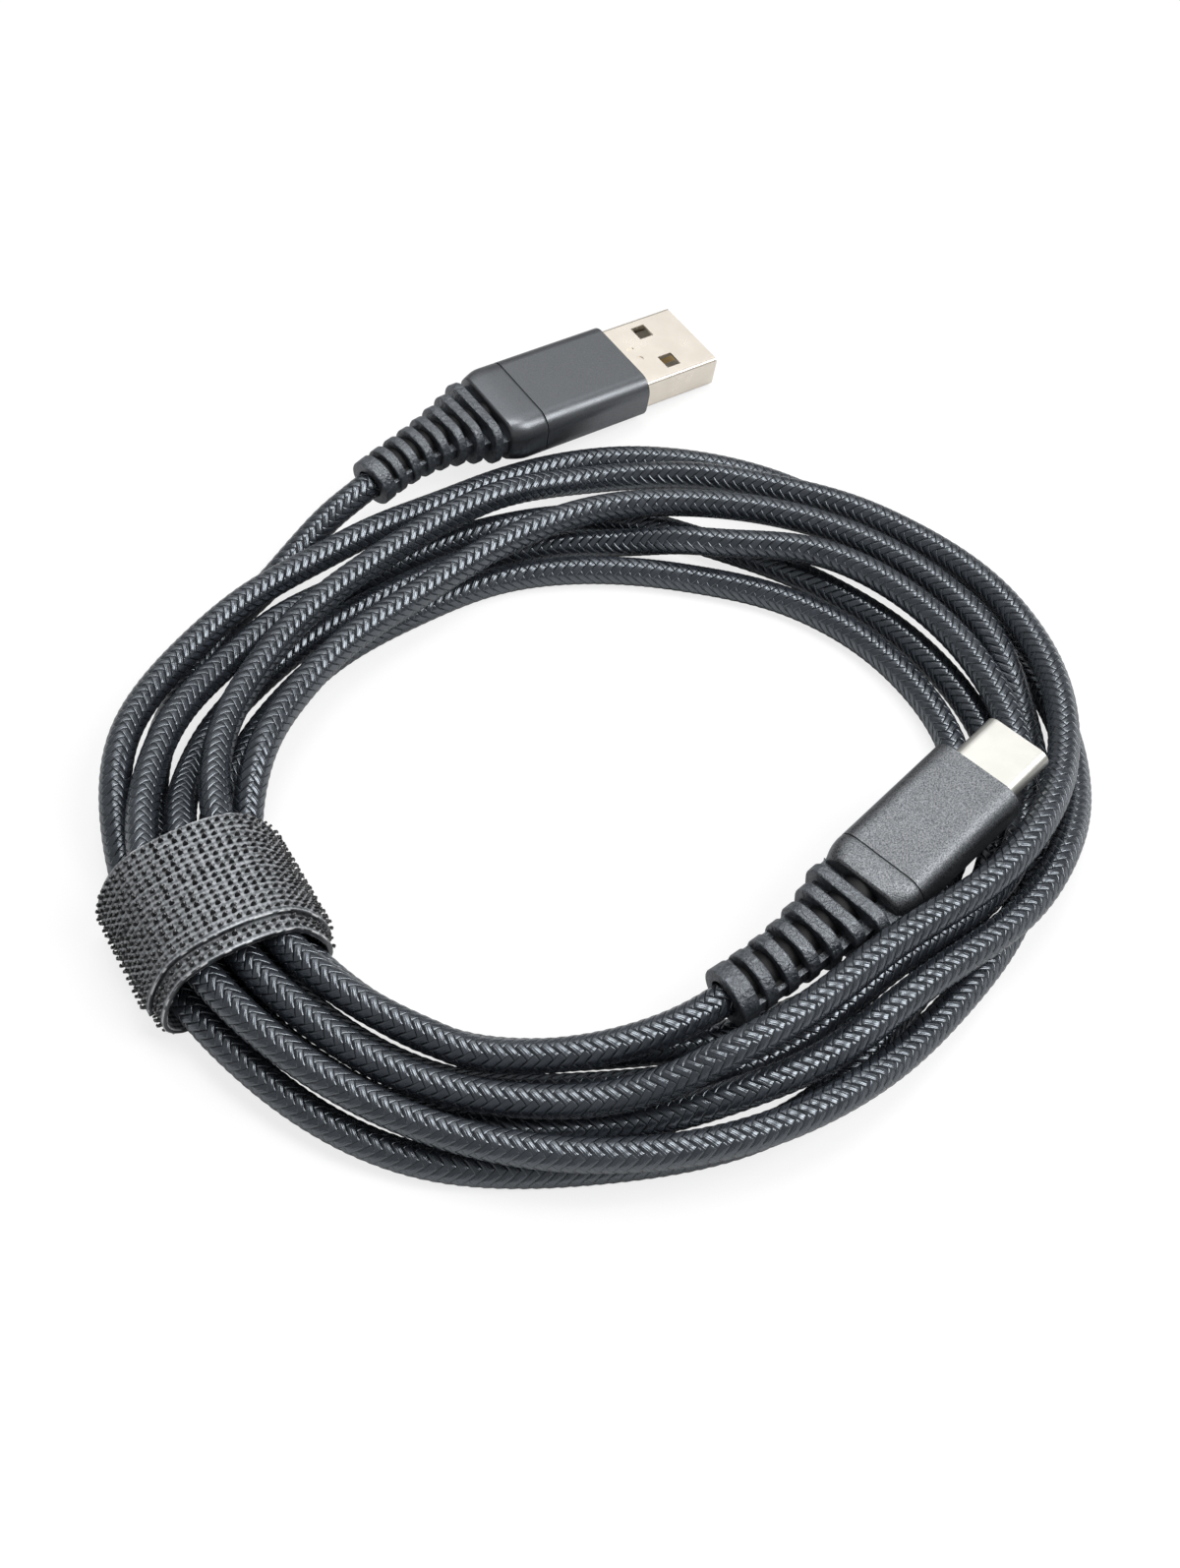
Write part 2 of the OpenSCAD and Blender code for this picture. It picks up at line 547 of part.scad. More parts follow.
module usb_c_wire_black() { color([0.05, 0.05, 0.05]) c_wire(-1, -1); }

// ---- strap ------------------------------------------------------------------
// The strap's section lies across the bundle: first axis outwards, second axis up.
strap_axis = [-cos(strap_turn), sin(strap_turn), 0];
strap_way = [-sin(strap_turn), -cos(strap_turn), 0];
held = [for (q = fine) let (v = q - [coil_x, coil_y, 0])
  if (v * strap_axis > 0 && abs(v * strap_way) < strap_w / 2 + strap_step)
  [v * strap_axis, v[2]]];
held_z = (min([for (q = held) q[1]]) + max([for (q = held) q[1]])) / 2;
held_low = [for (q = held) if (q[1] < held_z) q[0]];
held_high = [for (q = held) if (q[1] > held_z) q[0]];
strap_r = cord_d / 2 + strap_gap;
strap_low = 2 * strap_t + strap_layer_gap + strap_r;
strap_high = max([for (q = held) q[1]]);
// Centres of the section's four round corners, anticlockwise.
strap_corners = [[min(held_low), strap_low], [max(held_low), strap_low],
  [max(held_high), strap_high], [min(held_high), strap_high]];
tail_root = min(held_high);
tail_top = strap_high + strap_r + 2 * strap_t + strap_layer_gap;

// The outline round four circles, drawn as the circles, the strips between them and the middle.
module strap_section(grow) {
  r = strap_r + grow;
  polygon(strap_corners);
  for (i = [0 : 3]) {
    a = strap_corners[i];
    b = strap_corners[(i + 1) % 4];
    out = unit([b[1] - a[1], a[0] - b[0]]);
    polygon([a, a + r * out, b + r * out, b]);
    translate(a) circle(r);
  }
}
module across_bundle(shift) {
  translate([coil_x, coil_y, 0]) rotate([0, 0, 180 - strap_turn])
    translate([0, strap_w / 2 + shift, 0]) rotate([90, 0, 0]) linear_extrude(strap_w) children();
}
module second_turn() {
  difference() {
    strap_section(2 * strap_t + strap_layer_gap);
    strap_section(strap_t + strap_layer_gap);
  }
}
// The first turn, and beside it the second turn as far as the tail's root.
module strap_band() {
  color([0.07, 0.07, 0.07]) union() {
    across_bundle(strap_step) difference() {
      strap_section(strap_t);
      strap_section(0);
    }
    across_bundle(0) difference() {
      second_turn();
      translate([tail_root - tail_gap, tail_end - tail_gap]) square(100);
    }
  }
}
module strap_tail() {
  color([0.07, 0.07, 0.07]) across_bundle(0) intersection() {
    second_turn();
    translate([tail_root, tail_end]) square(100);
  }
}

cord_coil();
cord_a_lead();
cord_c_lead();
usb_a_shell();
usb_a_tongue();
usb_a_contacts();
usb_a_inner_mould();
usb_a_sleeve();
usb_a_relief();
usb_a_core();
usb_a_wire_red();
usb_a_wire_white();
usb_a_wire_green();
usb_a_wire_black();
usb_c_shell();
usb_c_insulator();
usb_c_upper_contacts();
usb_c_lower_contacts();
usb_c_latch_left();
usb_c_latch_right();
usb_c_board();
usb_c_resistor();
usb_c_inner_mould();
usb_c_sleeve();
usb_c_relief();
usb_c_core();
usb_c_wire_red();
usb_c_wire_white();
usb_c_wire_green();
usb_c_wire_black();
strap_band();
strap_tail();
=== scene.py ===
from math import cos, exp, pi, radians, sin

import bpy
import numpy as np
from mathutils import Matrix, Vector


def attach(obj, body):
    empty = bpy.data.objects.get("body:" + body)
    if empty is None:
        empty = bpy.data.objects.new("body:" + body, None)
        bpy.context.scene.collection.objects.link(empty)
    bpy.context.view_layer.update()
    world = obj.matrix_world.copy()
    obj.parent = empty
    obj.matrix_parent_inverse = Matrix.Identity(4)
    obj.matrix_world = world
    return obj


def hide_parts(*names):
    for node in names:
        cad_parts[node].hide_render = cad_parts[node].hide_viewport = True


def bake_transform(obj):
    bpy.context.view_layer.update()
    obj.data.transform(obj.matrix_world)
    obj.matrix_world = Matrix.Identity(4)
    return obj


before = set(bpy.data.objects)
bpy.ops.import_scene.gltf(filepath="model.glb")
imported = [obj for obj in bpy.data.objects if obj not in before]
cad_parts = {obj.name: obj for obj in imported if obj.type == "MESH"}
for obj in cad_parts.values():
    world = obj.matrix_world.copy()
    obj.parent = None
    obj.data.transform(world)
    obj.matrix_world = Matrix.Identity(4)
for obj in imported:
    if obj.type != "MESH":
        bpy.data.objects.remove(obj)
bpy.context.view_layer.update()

MM = 0.001
UP = np.array([0, 0, 1.0])
# The map that woven and hooked pieces carry: metres or shares, as each piece says.
LAY = "lay"

# ---- camera ------------------------------------------------------------------
COIL_CENTRE = np.array([0.4, -11.8, 0.0]) * MM
CAMERA_FROM_COIL = np.array([-1.35, -135.15, 169.9]) * MM
CAMERA_TILT = radians(38)

camera_data = bpy.data.cameras.new("camera")
camera_data.lens = 43.0
camera_data.sensor_width = 36.0
camera_data.clip_start = 0.01
camera = bpy.data.objects.new("camera", camera_data)
camera.location = COIL_CENTRE + CAMERA_FROM_COIL
camera.rotation_euler = (CAMERA_TILT, 0, 0)
bpy.context.scene.collection.objects.link(camera)
bpy.context.scene.camera = camera

# ---- the cord's route, as in the part's source --------------------------------
CORD_D = 3.6 * MM
TURN_PITCH = 4.2 * MM
REST_Z = 1.44 * MM
STATIONS = 16
FIRST_STATION = 13
# Degrees clockwise from the left.
STRAP_AT = 330
STRAP_STATION = STRAP_AT * STATIONS / 360
# How far the strap lifts the bundle, and over how many stations it stays up and comes down.
BUNDLE_LIFT = 2.0 * MM
LIFT_HELD, LIFT_FALL = 0.5, 1.5
# [radius in mm, layer] at sixteen stations per turn, clockwise from the left.
TURNS = [
    [43.0, 1], [43.9, 1], [43.9, 1],
    [43.0, 1], [40.8, 1], [39.4, 1], [41.2, 1], [46.2, 0.2], [46.6, 0.8], [49.6, 1],
    [53.0, 1], [52.2, 1.35], [48.3, 2], [42.6, 2], [43.8, 1.9], [46.2, 1], [47.9, 1],
    [48.1, 1], [48.1, 1],
    [46.3, 0.05], [41.3, 0], [37.1, 0], [35.8, 0], [35.3, 0], [34.3, 0.9], [40.4, 1.05],
    [44.4, 1], [47.1, 0.9], [47.5, 0.93], [42.7, 1], [43.2, 0.3], [42.7, 0], [45.2, 0],
    [46.0, 0], [46.0, 0],
    [41.2, 0], [36.7, 0], [32.7, 0], [31.4, 0], [30.5, 0], [31.2, 0], [34.5, 0],
    [38.0, 0], [41.0, 0], [41.2, 0], [40.2, 0], [39.0, 0], [38.5, 0], [41.0, 0],
    [41.9, 0], [41.8, 0],
    [37.7, 1], [34.0, 1], [31.4, 1], [33.2, 1], [37.2, 1], [40.9, 1], [45.2, 1],
    [48.8, 0.9], [49.7, 0], [49.8, 0], [49.7, 0.4], [51.8, 1], [52.3, 1], [52.1, 1],
    [52.3, 1], [52.5, 1],
    [49.4, 1], [45.0, 0.5], [41.4, 0], [40.2, 0], [39.8, 0], [37.7, 0], [39.1, 0],
    [42.3, 0], [45.4, 0], [45.5, 0], [45.5, 0], [49.8, 0], [51.3, 0], [54.2, 0],
    [54.6, 0], [54.8, 0],
    [54.0, 1], [49.0, 0.95], [44.9, 0.8], [46.2, 0.3], [50.6, 0], [51.6, 0],
    [50.8, 0], [52.3, 0], [54.1, 0.1], [51.8, 1], [47.1, 1.35], [47.3, 1], [46.9, 0],
    [49.7, 0], [50.5, 0], [50.5, 0],
    [51.2, 0], [50.2, 0],
]
C_EXIT = np.array([12.682, -47.047, 6.607]) * MM
C_WAY = np.array([-0.8238, -0.5649, -0.0464])
C_LEAD_MIDDLE = np.array([[4.6, -39.4, 6.2], [-1.4, -41.0, 6.0], [-7.2, -41.5, 5.8]]) * MM
A_EXIT = np.array([-28.811, 28.895, 6.497]) * MM
A_WAY = np.array([-0.6712, -0.7352, -0.0946])
A_LEAD_MIDDLE = np.array([[-41.6, 26.8, 1.9], [-38.0, 31.6, 3.4], [-34.0, 36.2, 5.3]]) * MM

# Points of the line per station of the coil, and between two chosen points of a lead.
COIL_STEPS = 8
LEAD_STEPS = 12
# The line is evened out at this step, so many times over.
EVEN_STEP = 0.35 * MM
EVEN_ROUNDS = 60

# Strands round the cord each way, and how far along it one strand's width reaches.
STRANDS = 8
STRAND_STEP = 1.24 * MM
STRAND_RISE = 0.09 * MM
CORD_SIDES = 16
RING_STEP = STRAND_STEP / 3
FLOOR_CLEARANCE = 0.02 * MM


def unit(v):
    v = np.asarray(v, float)
    return v / np.linalg.norm(v, axis=-1, keepdims=True)


def smoothstep(t):
    t = np.clip(t, 0, 1)
    return t * t * (3 - 2 * t)


def catmull(a, b, c, d, t):
    """The smooth curve from b to c, whose neighbours are a and d."""
    return 0.5 * (2 * b + (c - a) * t + (2 * a - 5 * b + 4 * c - d) * t ** 2
                  + (3 * b - a - 3 * c + d) * t ** 3)


def catmull_line(points, steps):
    """A smooth line through the inner points; the first and last only give its direction."""
    line = [catmull(points[i - 1], points[i], points[i + 1], points[i + 2], k / steps)
            for i in range(1, len(points) - 2) for k in range(steps)]
    return np.array(line + [points[-2]])


def lengths_along(points):
    """How far along a line each of its points lies."""
    return np.concatenate([[0], np.cumsum(np.linalg.norm(np.diff(points, axis=0), axis=1))])


def places_at(at, along, points):
    """The places on a line at the lengths given, where along holds those of its points."""
    return np.stack([np.interp(at, along, axis) for axis in points.T], -1)


def by_length(points, step):
    """The same line in equal steps, and its whole length."""
    along = lengths_along(points)
    count = int(round(along[-1] / step))
    return places_at(np.linspace(0, along[-1], count + 1), along, points), along[-1]


def evened(points, rounds):
    """Each point drawn towards its neighbours, with the ends kept."""
    points = points.copy()
    for _ in range(rounds):
        points[1:-1] = points[1:-1] + 0.25 * (points[:-2] - 2 * points[1:-1] + points[2:])
    return points


def strap_lift(station):
    away = abs((station - STRAP_STATION + STATIONS / 2) % STATIONS - STATIONS / 2)
    return BUNDLE_LIFT * (1 - smoothstep((away - LIFT_HELD) / LIFT_FALL))


def coil_point(place):
    """The coil's centre line at a place along TURNS, also between two of its rows."""
    last = len(TURNS) - 1
    i = min(int(place), last - 1)
    t = place - i
    radii = [TURNS[max(0, min(last, i + k))][0] for k in (-1, 0, 1, 2)]
    radius = catmull(*radii, t) * MM
    layer = TURNS[i][1] + (TURNS[i + 1][1] - TURNS[i][1]) * smoothstep(t)
    station = place + FIRST_STATION
    angle = 2 * pi / STATIONS * station
    return COIL_CENTRE + np.array([-radius * cos(angle), radius * sin(angle),
                                   REST_Z + TURN_PITCH * layer + strap_lift(station)])


def straight(place, way):
    """Three points in line, which hold a lead straight where it leaves a plug or the coil."""
    return [place - CORD_D * way, place, place + CORD_D * way]


def cord_route():
    """The whole centre line from the USB-C plug to the USB-A plug, and its length."""
    places = np.arange((len(TURNS) - 1) * COIL_STEPS + 1) / COIL_STEPS
    coil = np.array([coil_point(place) for place in places])
    start_way, stop_way = unit(coil[1] - coil[0]), unit(coil[-1] - coil[-2])
    c_lead = catmull_line(np.array([*straight(C_EXIT, C_WAY), *(C_LEAD_MIDDLE + COIL_CENTRE),
                                    *straight(coil[0], start_way)]), LEAD_STEPS)
    a_lead = catmull_line(np.array([*straight(coil[-1], stop_way),
                                    *(A_LEAD_MIDDLE + COIL_CENTRE),
                                    *straight(A_EXIT, -A_WAY)]), LEAD_STEPS)
    line, _ = by_length(np.concatenate([c_lead[:-1], coil, a_lead[1:]]), EVEN_STEP)
    return by_length(evened(line, EVEN_ROUNDS), RING_STEP)


def mesh_object(name, vertices, faces, uvs=None):
    mesh = bpy.data.meshes.new(name)
    mesh.from_pydata([tuple(v) for v in np.asarray(vertices)], [], [tuple(f) for f in faces])
    if uvs is not None:
        layer = mesh.uv_layers.new(name=LAY)
        layer.data.foreach_set("uv", np.asarray(uvs, np.float32).ravel())
    mesh.polygons.foreach_set("use_smooth", [True] * len(mesh.polygons))
    mesh.update()
    obj = bpy.data.objects.new(name, mesh)
    bpy.context.scene.collection.objects.link(obj)
    return obj


def frames_along(points):
    """For each point of a line: a level side direction, and the one square to it."""
    tangents = unit(np.gradient(points, axis=0))
    sides = unit(np.cross(UP, tangents))
    return sides, np.cross(tangents, sides)


def strand_height(p, q):
    """How far a strand stands out, 0 to 1, where p and q count the two families of strands."""
    over = np.mod(np.floor(p) + np.floor(q), 4) < 2
    across = np.where(over, p, q) % 1
    return 1 - (2 * across - 1) ** 2


def braided_cord():
    """The cord as a tube with its strands raised, and the line that it follows.

    Its map holds metres along the cord and the share of the way round it."""
    line, length = cord_route()
    sides, ups = frames_along(line)
    rings, n = len(line), CORD_SIDES
    # The seam of the pattern runs underneath.
    turn = (np.arange(n) + 0.5) / n
    angle = 2 * pi * turn - pi / 2
    u, v = np.meshgrid(np.linspace(0, length, rings), turn, indexing="ij")
    height = strand_height(STRANDS * v + u / STRAND_STEP, STRANDS * v - u / STRAND_STEP)
    radius = CORD_D / 2 - STRAND_RISE * (1 - height)
    radius[[0, -1]] = CORD_D / 2 - STRAND_RISE
    spokes = (np.cos(angle)[None, :, None] * sides[:, None, :]
              + np.sin(angle)[None, :, None] * ups[:, None, :])
    points = line[:, None, :] + radius[:, :, None] * spokes
    points[..., 2] = np.maximum(points[..., 2], FLOOR_CLEARANCE)

    i, k = np.meshgrid(np.arange(rings - 1), np.arange(n), indexing="ij")
    beside = (k + 1) % n
    faces = np.stack([i * n + k, i * n + beside, (i + 1) * n + beside, (i + 1) * n + k], -1)
    near, far = i / (rings - 1) * length, (i + 1) / (rings - 1) * length
    low, high = (k + 0.5) / n, (k + 1.5) / n
    uvs = np.stack([np.stack(corner, -1) for corner in
                    ((near, low), (near, high), (far, high), (far, low))], -2)
    cord = mesh_object("braided_cord", points.reshape(-1, 3), faces.reshape(-1, 4),
                       uvs.reshape(-1, 2))
    return cord, line


# ---- shader groups -------------------------------------------------------------
NUMBER, COLOUR, PLACE = "NodeSocketFloat", "NodeSocketColor", "NodeSocketVector"
# Where a Mix node keeps its two inputs and its output, for numbers and for colours.
MIX_SOCKETS = {"FLOAT": (2, 3, 0), "RGBA": (6, 7, 2)}


def rgb(r, g, b):
    return (r, g, b, 1.0)


class Tree:
    """Adds nodes to a node tree in few words."""

    def __init__(self, tree):
        self.tree = tree

    def node(self, kind, **settings):
        made = self.tree.nodes.new(kind)
        for name, value in settings.items():
            setattr(made, name, value)
        return made

    def link(self, source, target):
        self.tree.links.new(source, target)

    def feed(self, socket, value):
        if isinstance(value, bpy.types.NodeSocket):
            self.link(value, socket)
        elif value is not None:
            socket.default_value = value

    def math(self, operation, a, b=None, c=None, clamp=False):
        made = self.node("ShaderNodeMath", operation=operation, use_clamp=clamp)
        for socket, value in zip(made.inputs, (a, b, c)):
            self.feed(socket, value)
        return made.outputs[0]

    def vector(self, operation, a, b):
        made = self.node("ShaderNodeVectorMath", operation=operation)
        self.feed(made.inputs[0], a)
        self.feed(made.inputs["Scale" if operation == "SCALE" else 1], b)
        return made.outputs["Value" if operation == "DOT_PRODUCT" else "Vector"]

    def ramp(self, value, low, high, to_low=0.0, to_high=1.0):
        """The value's smooth way from low to high, as one from to_low to to_high."""
        made = self.node("ShaderNodeMapRange", clamp=True, interpolation_type="SMOOTHSTEP")
        for name, each in (("Value", value), ("From Min", low), ("From Max", high),
                           ("To Min", to_low), ("To Max", to_high)):
            self.feed(made.inputs[name], each)
        return made.outputs["Result"]

    def between(self, kind, factor, a, b):
        made = self.node("ShaderNodeMix", data_type=kind)
        first, second, result = MIX_SOCKETS[kind]
        for socket, value in ((0, factor), (first, a), (second, b)):
            self.feed(made.inputs[socket], value)
        return made.outputs[result]

    def mix(self, factor, a, b):
        return self.between("RGBA", factor, a, b)

    def blend(self, factor, a, b):
        return self.between("FLOAT", factor, a, b)

    def noise(self, place, scale, detail=2.0, roughness=0.5):
        made = self.node("ShaderNodeTexNoise")
        for name, each in (("Vector", place), ("Scale", scale), ("Detail", detail),
                           ("Roughness", roughness)):
            self.feed(made.inputs[name], each)
        return made.outputs["Fac"]

    def object_place(self):
        return self.node("ShaderNodeTexCoord").outputs["Object"]

    def lay(self):
        """The two numbers of the piece's map."""
        parts = self.node("ShaderNodeSeparateXYZ")
        self.link(self.node("ShaderNodeUVMap", uv_map=LAY).outputs[0], parts.inputs[0])
        return parts.outputs[0], parts.outputs[1]

    def joined(self, *numbers):
        """Up to three numbers as one vector."""
        made = self.node("ShaderNodeCombineXYZ")
        for socket, value in zip(made.inputs, numbers):
            self.link(value, socket)
        return made.outputs[0]

    def group(self, tree, **values):
        made = self.node("ShaderNodeGroup")
        made.node_tree = tree
        for name, value in values.items():
            self.feed(made.inputs[name.replace("_", " ")], value)
        return made.outputs


def new_group(name, inputs, outputs):
    """A shader group; each material that places it gives all its inputs."""
    tree = bpy.data.node_groups.new(name, "ShaderNodeTree")
    for side, sockets in (("INPUT", inputs), ("OUTPUT", outputs)):
        for label, kind in sockets.items():
            tree.interface.new_socket(name=label, in_out=side, socket_type=kind)
    g = Tree(tree)
    return g, g.node("NodeGroupInput").outputs, g.node("NodeGroupOutput").inputs


def grain_group():
    """Fine even grain over any surface: a blasted metal, a moulded plastic."""
    g, given, out = new_group(
        "Surface grain",
        {"Scale": NUMBER, "Dark": COLOUR, "Light": COLOUR, "Contrast": NUMBER},
        {"Colour": COLOUR, "Height": NUMBER, "Patches": NUMBER})
    place = g.object_place()
    speck = g.ramp(g.noise(place, given["Scale"], 3.0, 0.6),
                   g.math("SUBTRACT", 0.5, given["Contrast"]),
                   g.math("ADD", 0.5, given["Contrast"]))
    patches = g.noise(place, g.math("MULTIPLY", given["Scale"], 0.04))
    g.link(g.mix(speck, given["Dark"], given["Light"]), out["Colour"])
    g.link(speck, out["Height"])
    g.link(patches, out["Patches"])
    return g.tree


def rolled_group():
    """Fine lines of rolled or drawn metal along one axis of a plug, with faint smudges."""
    g, given, out = new_group(
        "Rolled metal",
        {"Across": PLACE, "Line width": NUMBER, "Dark": COLOUR, "Light": COLOUR},
        {"Colour": COLOUR, "Height": NUMBER, "Smudge": NUMBER})
    place = g.object_place()
    lines = g.math("DIVIDE", g.vector("DOT_PRODUCT", place, given["Across"]),
                   given["Line width"])
    # Along the lines the noise changes slowly, so that they run on.
    drift = g.vector("SCALE", place, 120.0)
    streak = g.noise(g.vector("ADD", g.joined(lines), drift), 1.0, 3.0, 0.6)
    smudge = g.ramp(g.noise(place, 260.0, 3.0, 0.55), 0.3, 0.72)
    g.link(g.mix(smudge, given["Dark"], given["Light"]), out["Colour"])
    g.link(streak, out["Height"])
    g.link(smudge, out["Smudge"])
    return g.tree


def braid_group():
    """Two families of strands round a cord, each over two and under two."""
    g, given, out = new_group(
        "Cord braid",
        {"Strands": NUMBER, "Step": NUMBER, "Filaments": NUMBER, "Flatness": NUMBER,
         "Groove": COLOUR, "Strand": COLOUR},
        {"Colour": COLOUR, "Height": NUMBER, "Rough": NUMBER})
    metres, share = g.lay()
    round_it = g.math("MULTIPLY", share, given["Strands"])
    along = g.math("DIVIDE", metres, given["Step"])
    p = g.math("ADD", round_it, along)
    q = g.math("SUBTRACT", round_it, along)
    cell_p, cell_q = g.math("FLOOR", p), g.math("FLOOR", q)
    turn = g.math("FLOORED_MODULO", g.math("ADD", cell_p, cell_q), 4.0)
    over = g.math("LESS_THAN", turn, 2.0)
    across = g.math("FRACT", g.blend(over, q, p))
    # The strand's float begins where the count turns over, and ends two cells on.
    step_in = g.math("ADD", g.math("FLOORED_MODULO", turn, 2.0),
                     g.blend(over, g.math("FRACT", p), g.math("FRACT", q)))

    # The float is full at its middle, and falls off to its two sides and its two ends.
    off_side = g.math("ABSOLUTE", g.math("MULTIPLY_ADD", across, 2.0, -1.0))
    off_end = g.math("ABSOLUTE", g.math("SUBTRACT", step_in, 1.0))
    crown = g.math("SUBTRACT", 1.0, g.math("POWER", off_side, 4.0))
    rise = g.math("SUBTRACT", 1.0, g.math("POWER", off_end, 4.0))
    height = g.math("MULTIPLY", crown, g.math("MULTIPLY_ADD", rise, 0.6, 0.4))
    # A float lies straighter than the round cord under it, so its face is nearly flat.
    off_centre = g.math("ABSOLUTE", g.math("ADD", g.math("ADD", across, step_in), -1.5))
    flat = g.math("MULTIPLY", g.math("POWER", off_centre, 2.0), given["Flatness"])
    # Filaments lie side by side in each strand, with a shallow valley between two of them.
    lines = g.math("FRACT", g.math("MULTIPLY", across, given["Filaments"]))
    off_thread = g.math("ABSOLUTE", g.math("MULTIPLY_ADD", lines, 2.0, -1.0))
    thread = g.math("SUBTRACT", 1.0, g.math("POWER", off_thread, 2.0))

    # Each float has its own share of light and gloss.
    chance = g.node("ShaderNodeTexWhiteNoise", noise_dimensions="3D")
    g.link(g.joined(cell_p, cell_q, g.math("MULTIPLY", over, 7.0)), chance.inputs["Vector"])
    luck = chance.outputs["Value"]
    # Where a float falls away to its sides and ends, and in the valleys between its filaments,
    # its colour goes towards the near-black groove colour: painted shade.
    shade = g.math("MULTIPLY", g.ramp(height, 0.1, 0.55),
                   g.math("MULTIPLY_ADD", luck, 0.5, 0.6))
    shade = g.math("MULTIPLY", shade, g.math("MULTIPLY_ADD", thread, 0.15, 0.87), clamp=True)
    raised = g.math("MULTIPLY", height, g.math("MULTIPLY_ADD", thread, 0.08, 0.92))
    g.link(g.mix(shade, given["Groove"], given["Strand"]), out["Colour"])
    g.link(g.math("ADD", raised, flat), out["Height"])
    g.link(g.math("MULTIPLY_ADD", shade, -0.08, g.math("MULTIPLY", luck, 0.14)), out["Rough"])
    return g.tree


def tape_group():
    """The ground cloth of hook tape: fine ribs across, warp lines along, a pale broken rim,
    and painted shade, near black, on its long sides and cut ends.

    The map's second number is the place across, with one width added on the tape's two faces
    and its long sides, so that its cut ends, where none is added, count as cut."""
    g, given, out = new_group(
        "Tape ground",
        {"Rib": NUMBER, "Warp": NUMBER, "Width": NUMBER, "Dark": COLOUR, "Light": COLOUR,
         "Rim": COLOUR, "Cut": COLOUR},
        {"Colour": COLOUR, "Height": NUMBER})
    along, across = g.lay()
    place = g.object_place()

    def wave(value, size):
        phase = g.math("MULTIPLY", g.math("DIVIDE", value, size), 2 * pi)
        return g.math("MULTIPLY_ADD", g.math("SINE", phase), 0.5, 0.5)

    ribs, warps = wave(across, given["Rib"]), wave(along, given["Warp"])
    weave = g.math("MULTIPLY_ADD", ribs, 0.7, g.math("MULTIPLY", warps, 0.3))
    fuzz = g.noise(place, 3000.0, 3.0)
    cloth = g.math("ADD", g.math("MULTIPLY", weave, 0.4), g.math("MULTIPLY", fuzz, 0.6))
    ground = g.mix(g.ramp(cloth, 0.3, 0.7), given["Dark"], given["Light"])
    from_middle = g.math("ABSOLUTE", g.math("SUBTRACT", across, given["Width"]))
    to_edge = g.math("MULTIPLY_ADD", given["Width"], -0.5, from_middle)
    # The rim is a pale line broken into dashes; the long sides and cut ends past it are near
    # black, painted shade.
    rim = g.math("GREATER_THAN", to_edge, -0.12 * MM)
    side = g.math("GREATER_THAN", to_edge, 0.05 * MM)
    rim_dashes = g.mix(g.ramp(g.noise(place, 900.0, 1.0), 0.48, 0.6), given["Cut"], given["Rim"])
    g.link(g.mix(side, g.mix(rim, ground, rim_dashes), given["Cut"]), out["Colour"])
    g.link(cloth, out["Height"])
    return g.tree


GRAIN, ROLLED, BRAID, TAPE = grain_group(), rolled_group(), braid_group(), tape_group()


# ---- materials -----------------------------------------------------------------
def material(name, **constants):
    """A material with its Principled shader, whose plain sockets are set here."""
    made = bpy.data.materials.new(name)
    made.use_nodes = True
    shader = next(n for n in made.node_tree.nodes if n.type == "BSDF_PRINCIPLED")
    for key, value in constants.items():
        shader.inputs[key.replace("_", " ")].default_value = value
    return made, Tree(made.node_tree), shader


def surface(tree, shader, colour, roughness, height, depth, strength=1.0):
    """Gives the shader its colour, its roughness, and a height as a bump of real depth."""
    made = tree.node("ShaderNodeBump")
    made.inputs["Strength"].default_value = strength
    made.inputs["Distance"].default_value = depth
    for source, target in ((colour, shader.inputs["Base Color"]),
                           (roughness, shader.inputs["Roughness"]),
                           (height, made.inputs["Height"]),
                           (made.outputs["Normal"], shader.inputs["Normal"])):
        tree.link(source, target)


def grained(name, dark, light, scale, contrast, rough, spread, depth, **constants):
    """A material of even grain, with roughness that drifts slowly over it."""
    made, tree, shader = material(name, **constants)
    out = tree.group(GRAIN, Scale=scale, Dark=dark, Light=light, Contrast=contrast)
    roughness = tree.ramp(out["Patches"], 0.3, 0.7, rough - spread, rough + spread)
    surface(tree, shader, out["Colour"], roughness, out["Height"], depth)
    return made


def rolled(name, dark, light, across, rough, depth, **constants):
    """A metal with rolling lines square to across, a little duller where it is darker."""
    made, tree, shader = material(name, **constants)
    out = tree.group(ROLLED, Dark=dark, Light=light, Across=across, Line_width=0.12 * MM)
    roughness = tree.ramp(out["Smudge"], 0, 1, rough + 0.04, rough - 0.03)
    surface(tree, shader, out["Colour"], roughness, out["Height"], depth, strength=0.4)
    return made


def turned(v, yaw, nose, roll):
    """A direction of a plug's own frame in the shared one, by three angles in degrees."""
    turns = ((yaw, "Z"), (-nose, "Y"), (roll, "X"))
    first, second, third = (Matrix.Rotation(radians(angle), 3, axis) for angle, axis in turns)
    return first @ second @ third @ Vector(v)


# How each plug faces: yaw, nose up and roll, in degrees.
A_PLUG = (35, -6, 5)
C_PLUG = (44.7, 5, 0.5)
A_ACROSS = tuple(turned((0, 1, 0), *A_PLUG))
C_ACROSS = tuple(turned((0, 1, 0), *C_PLUG))

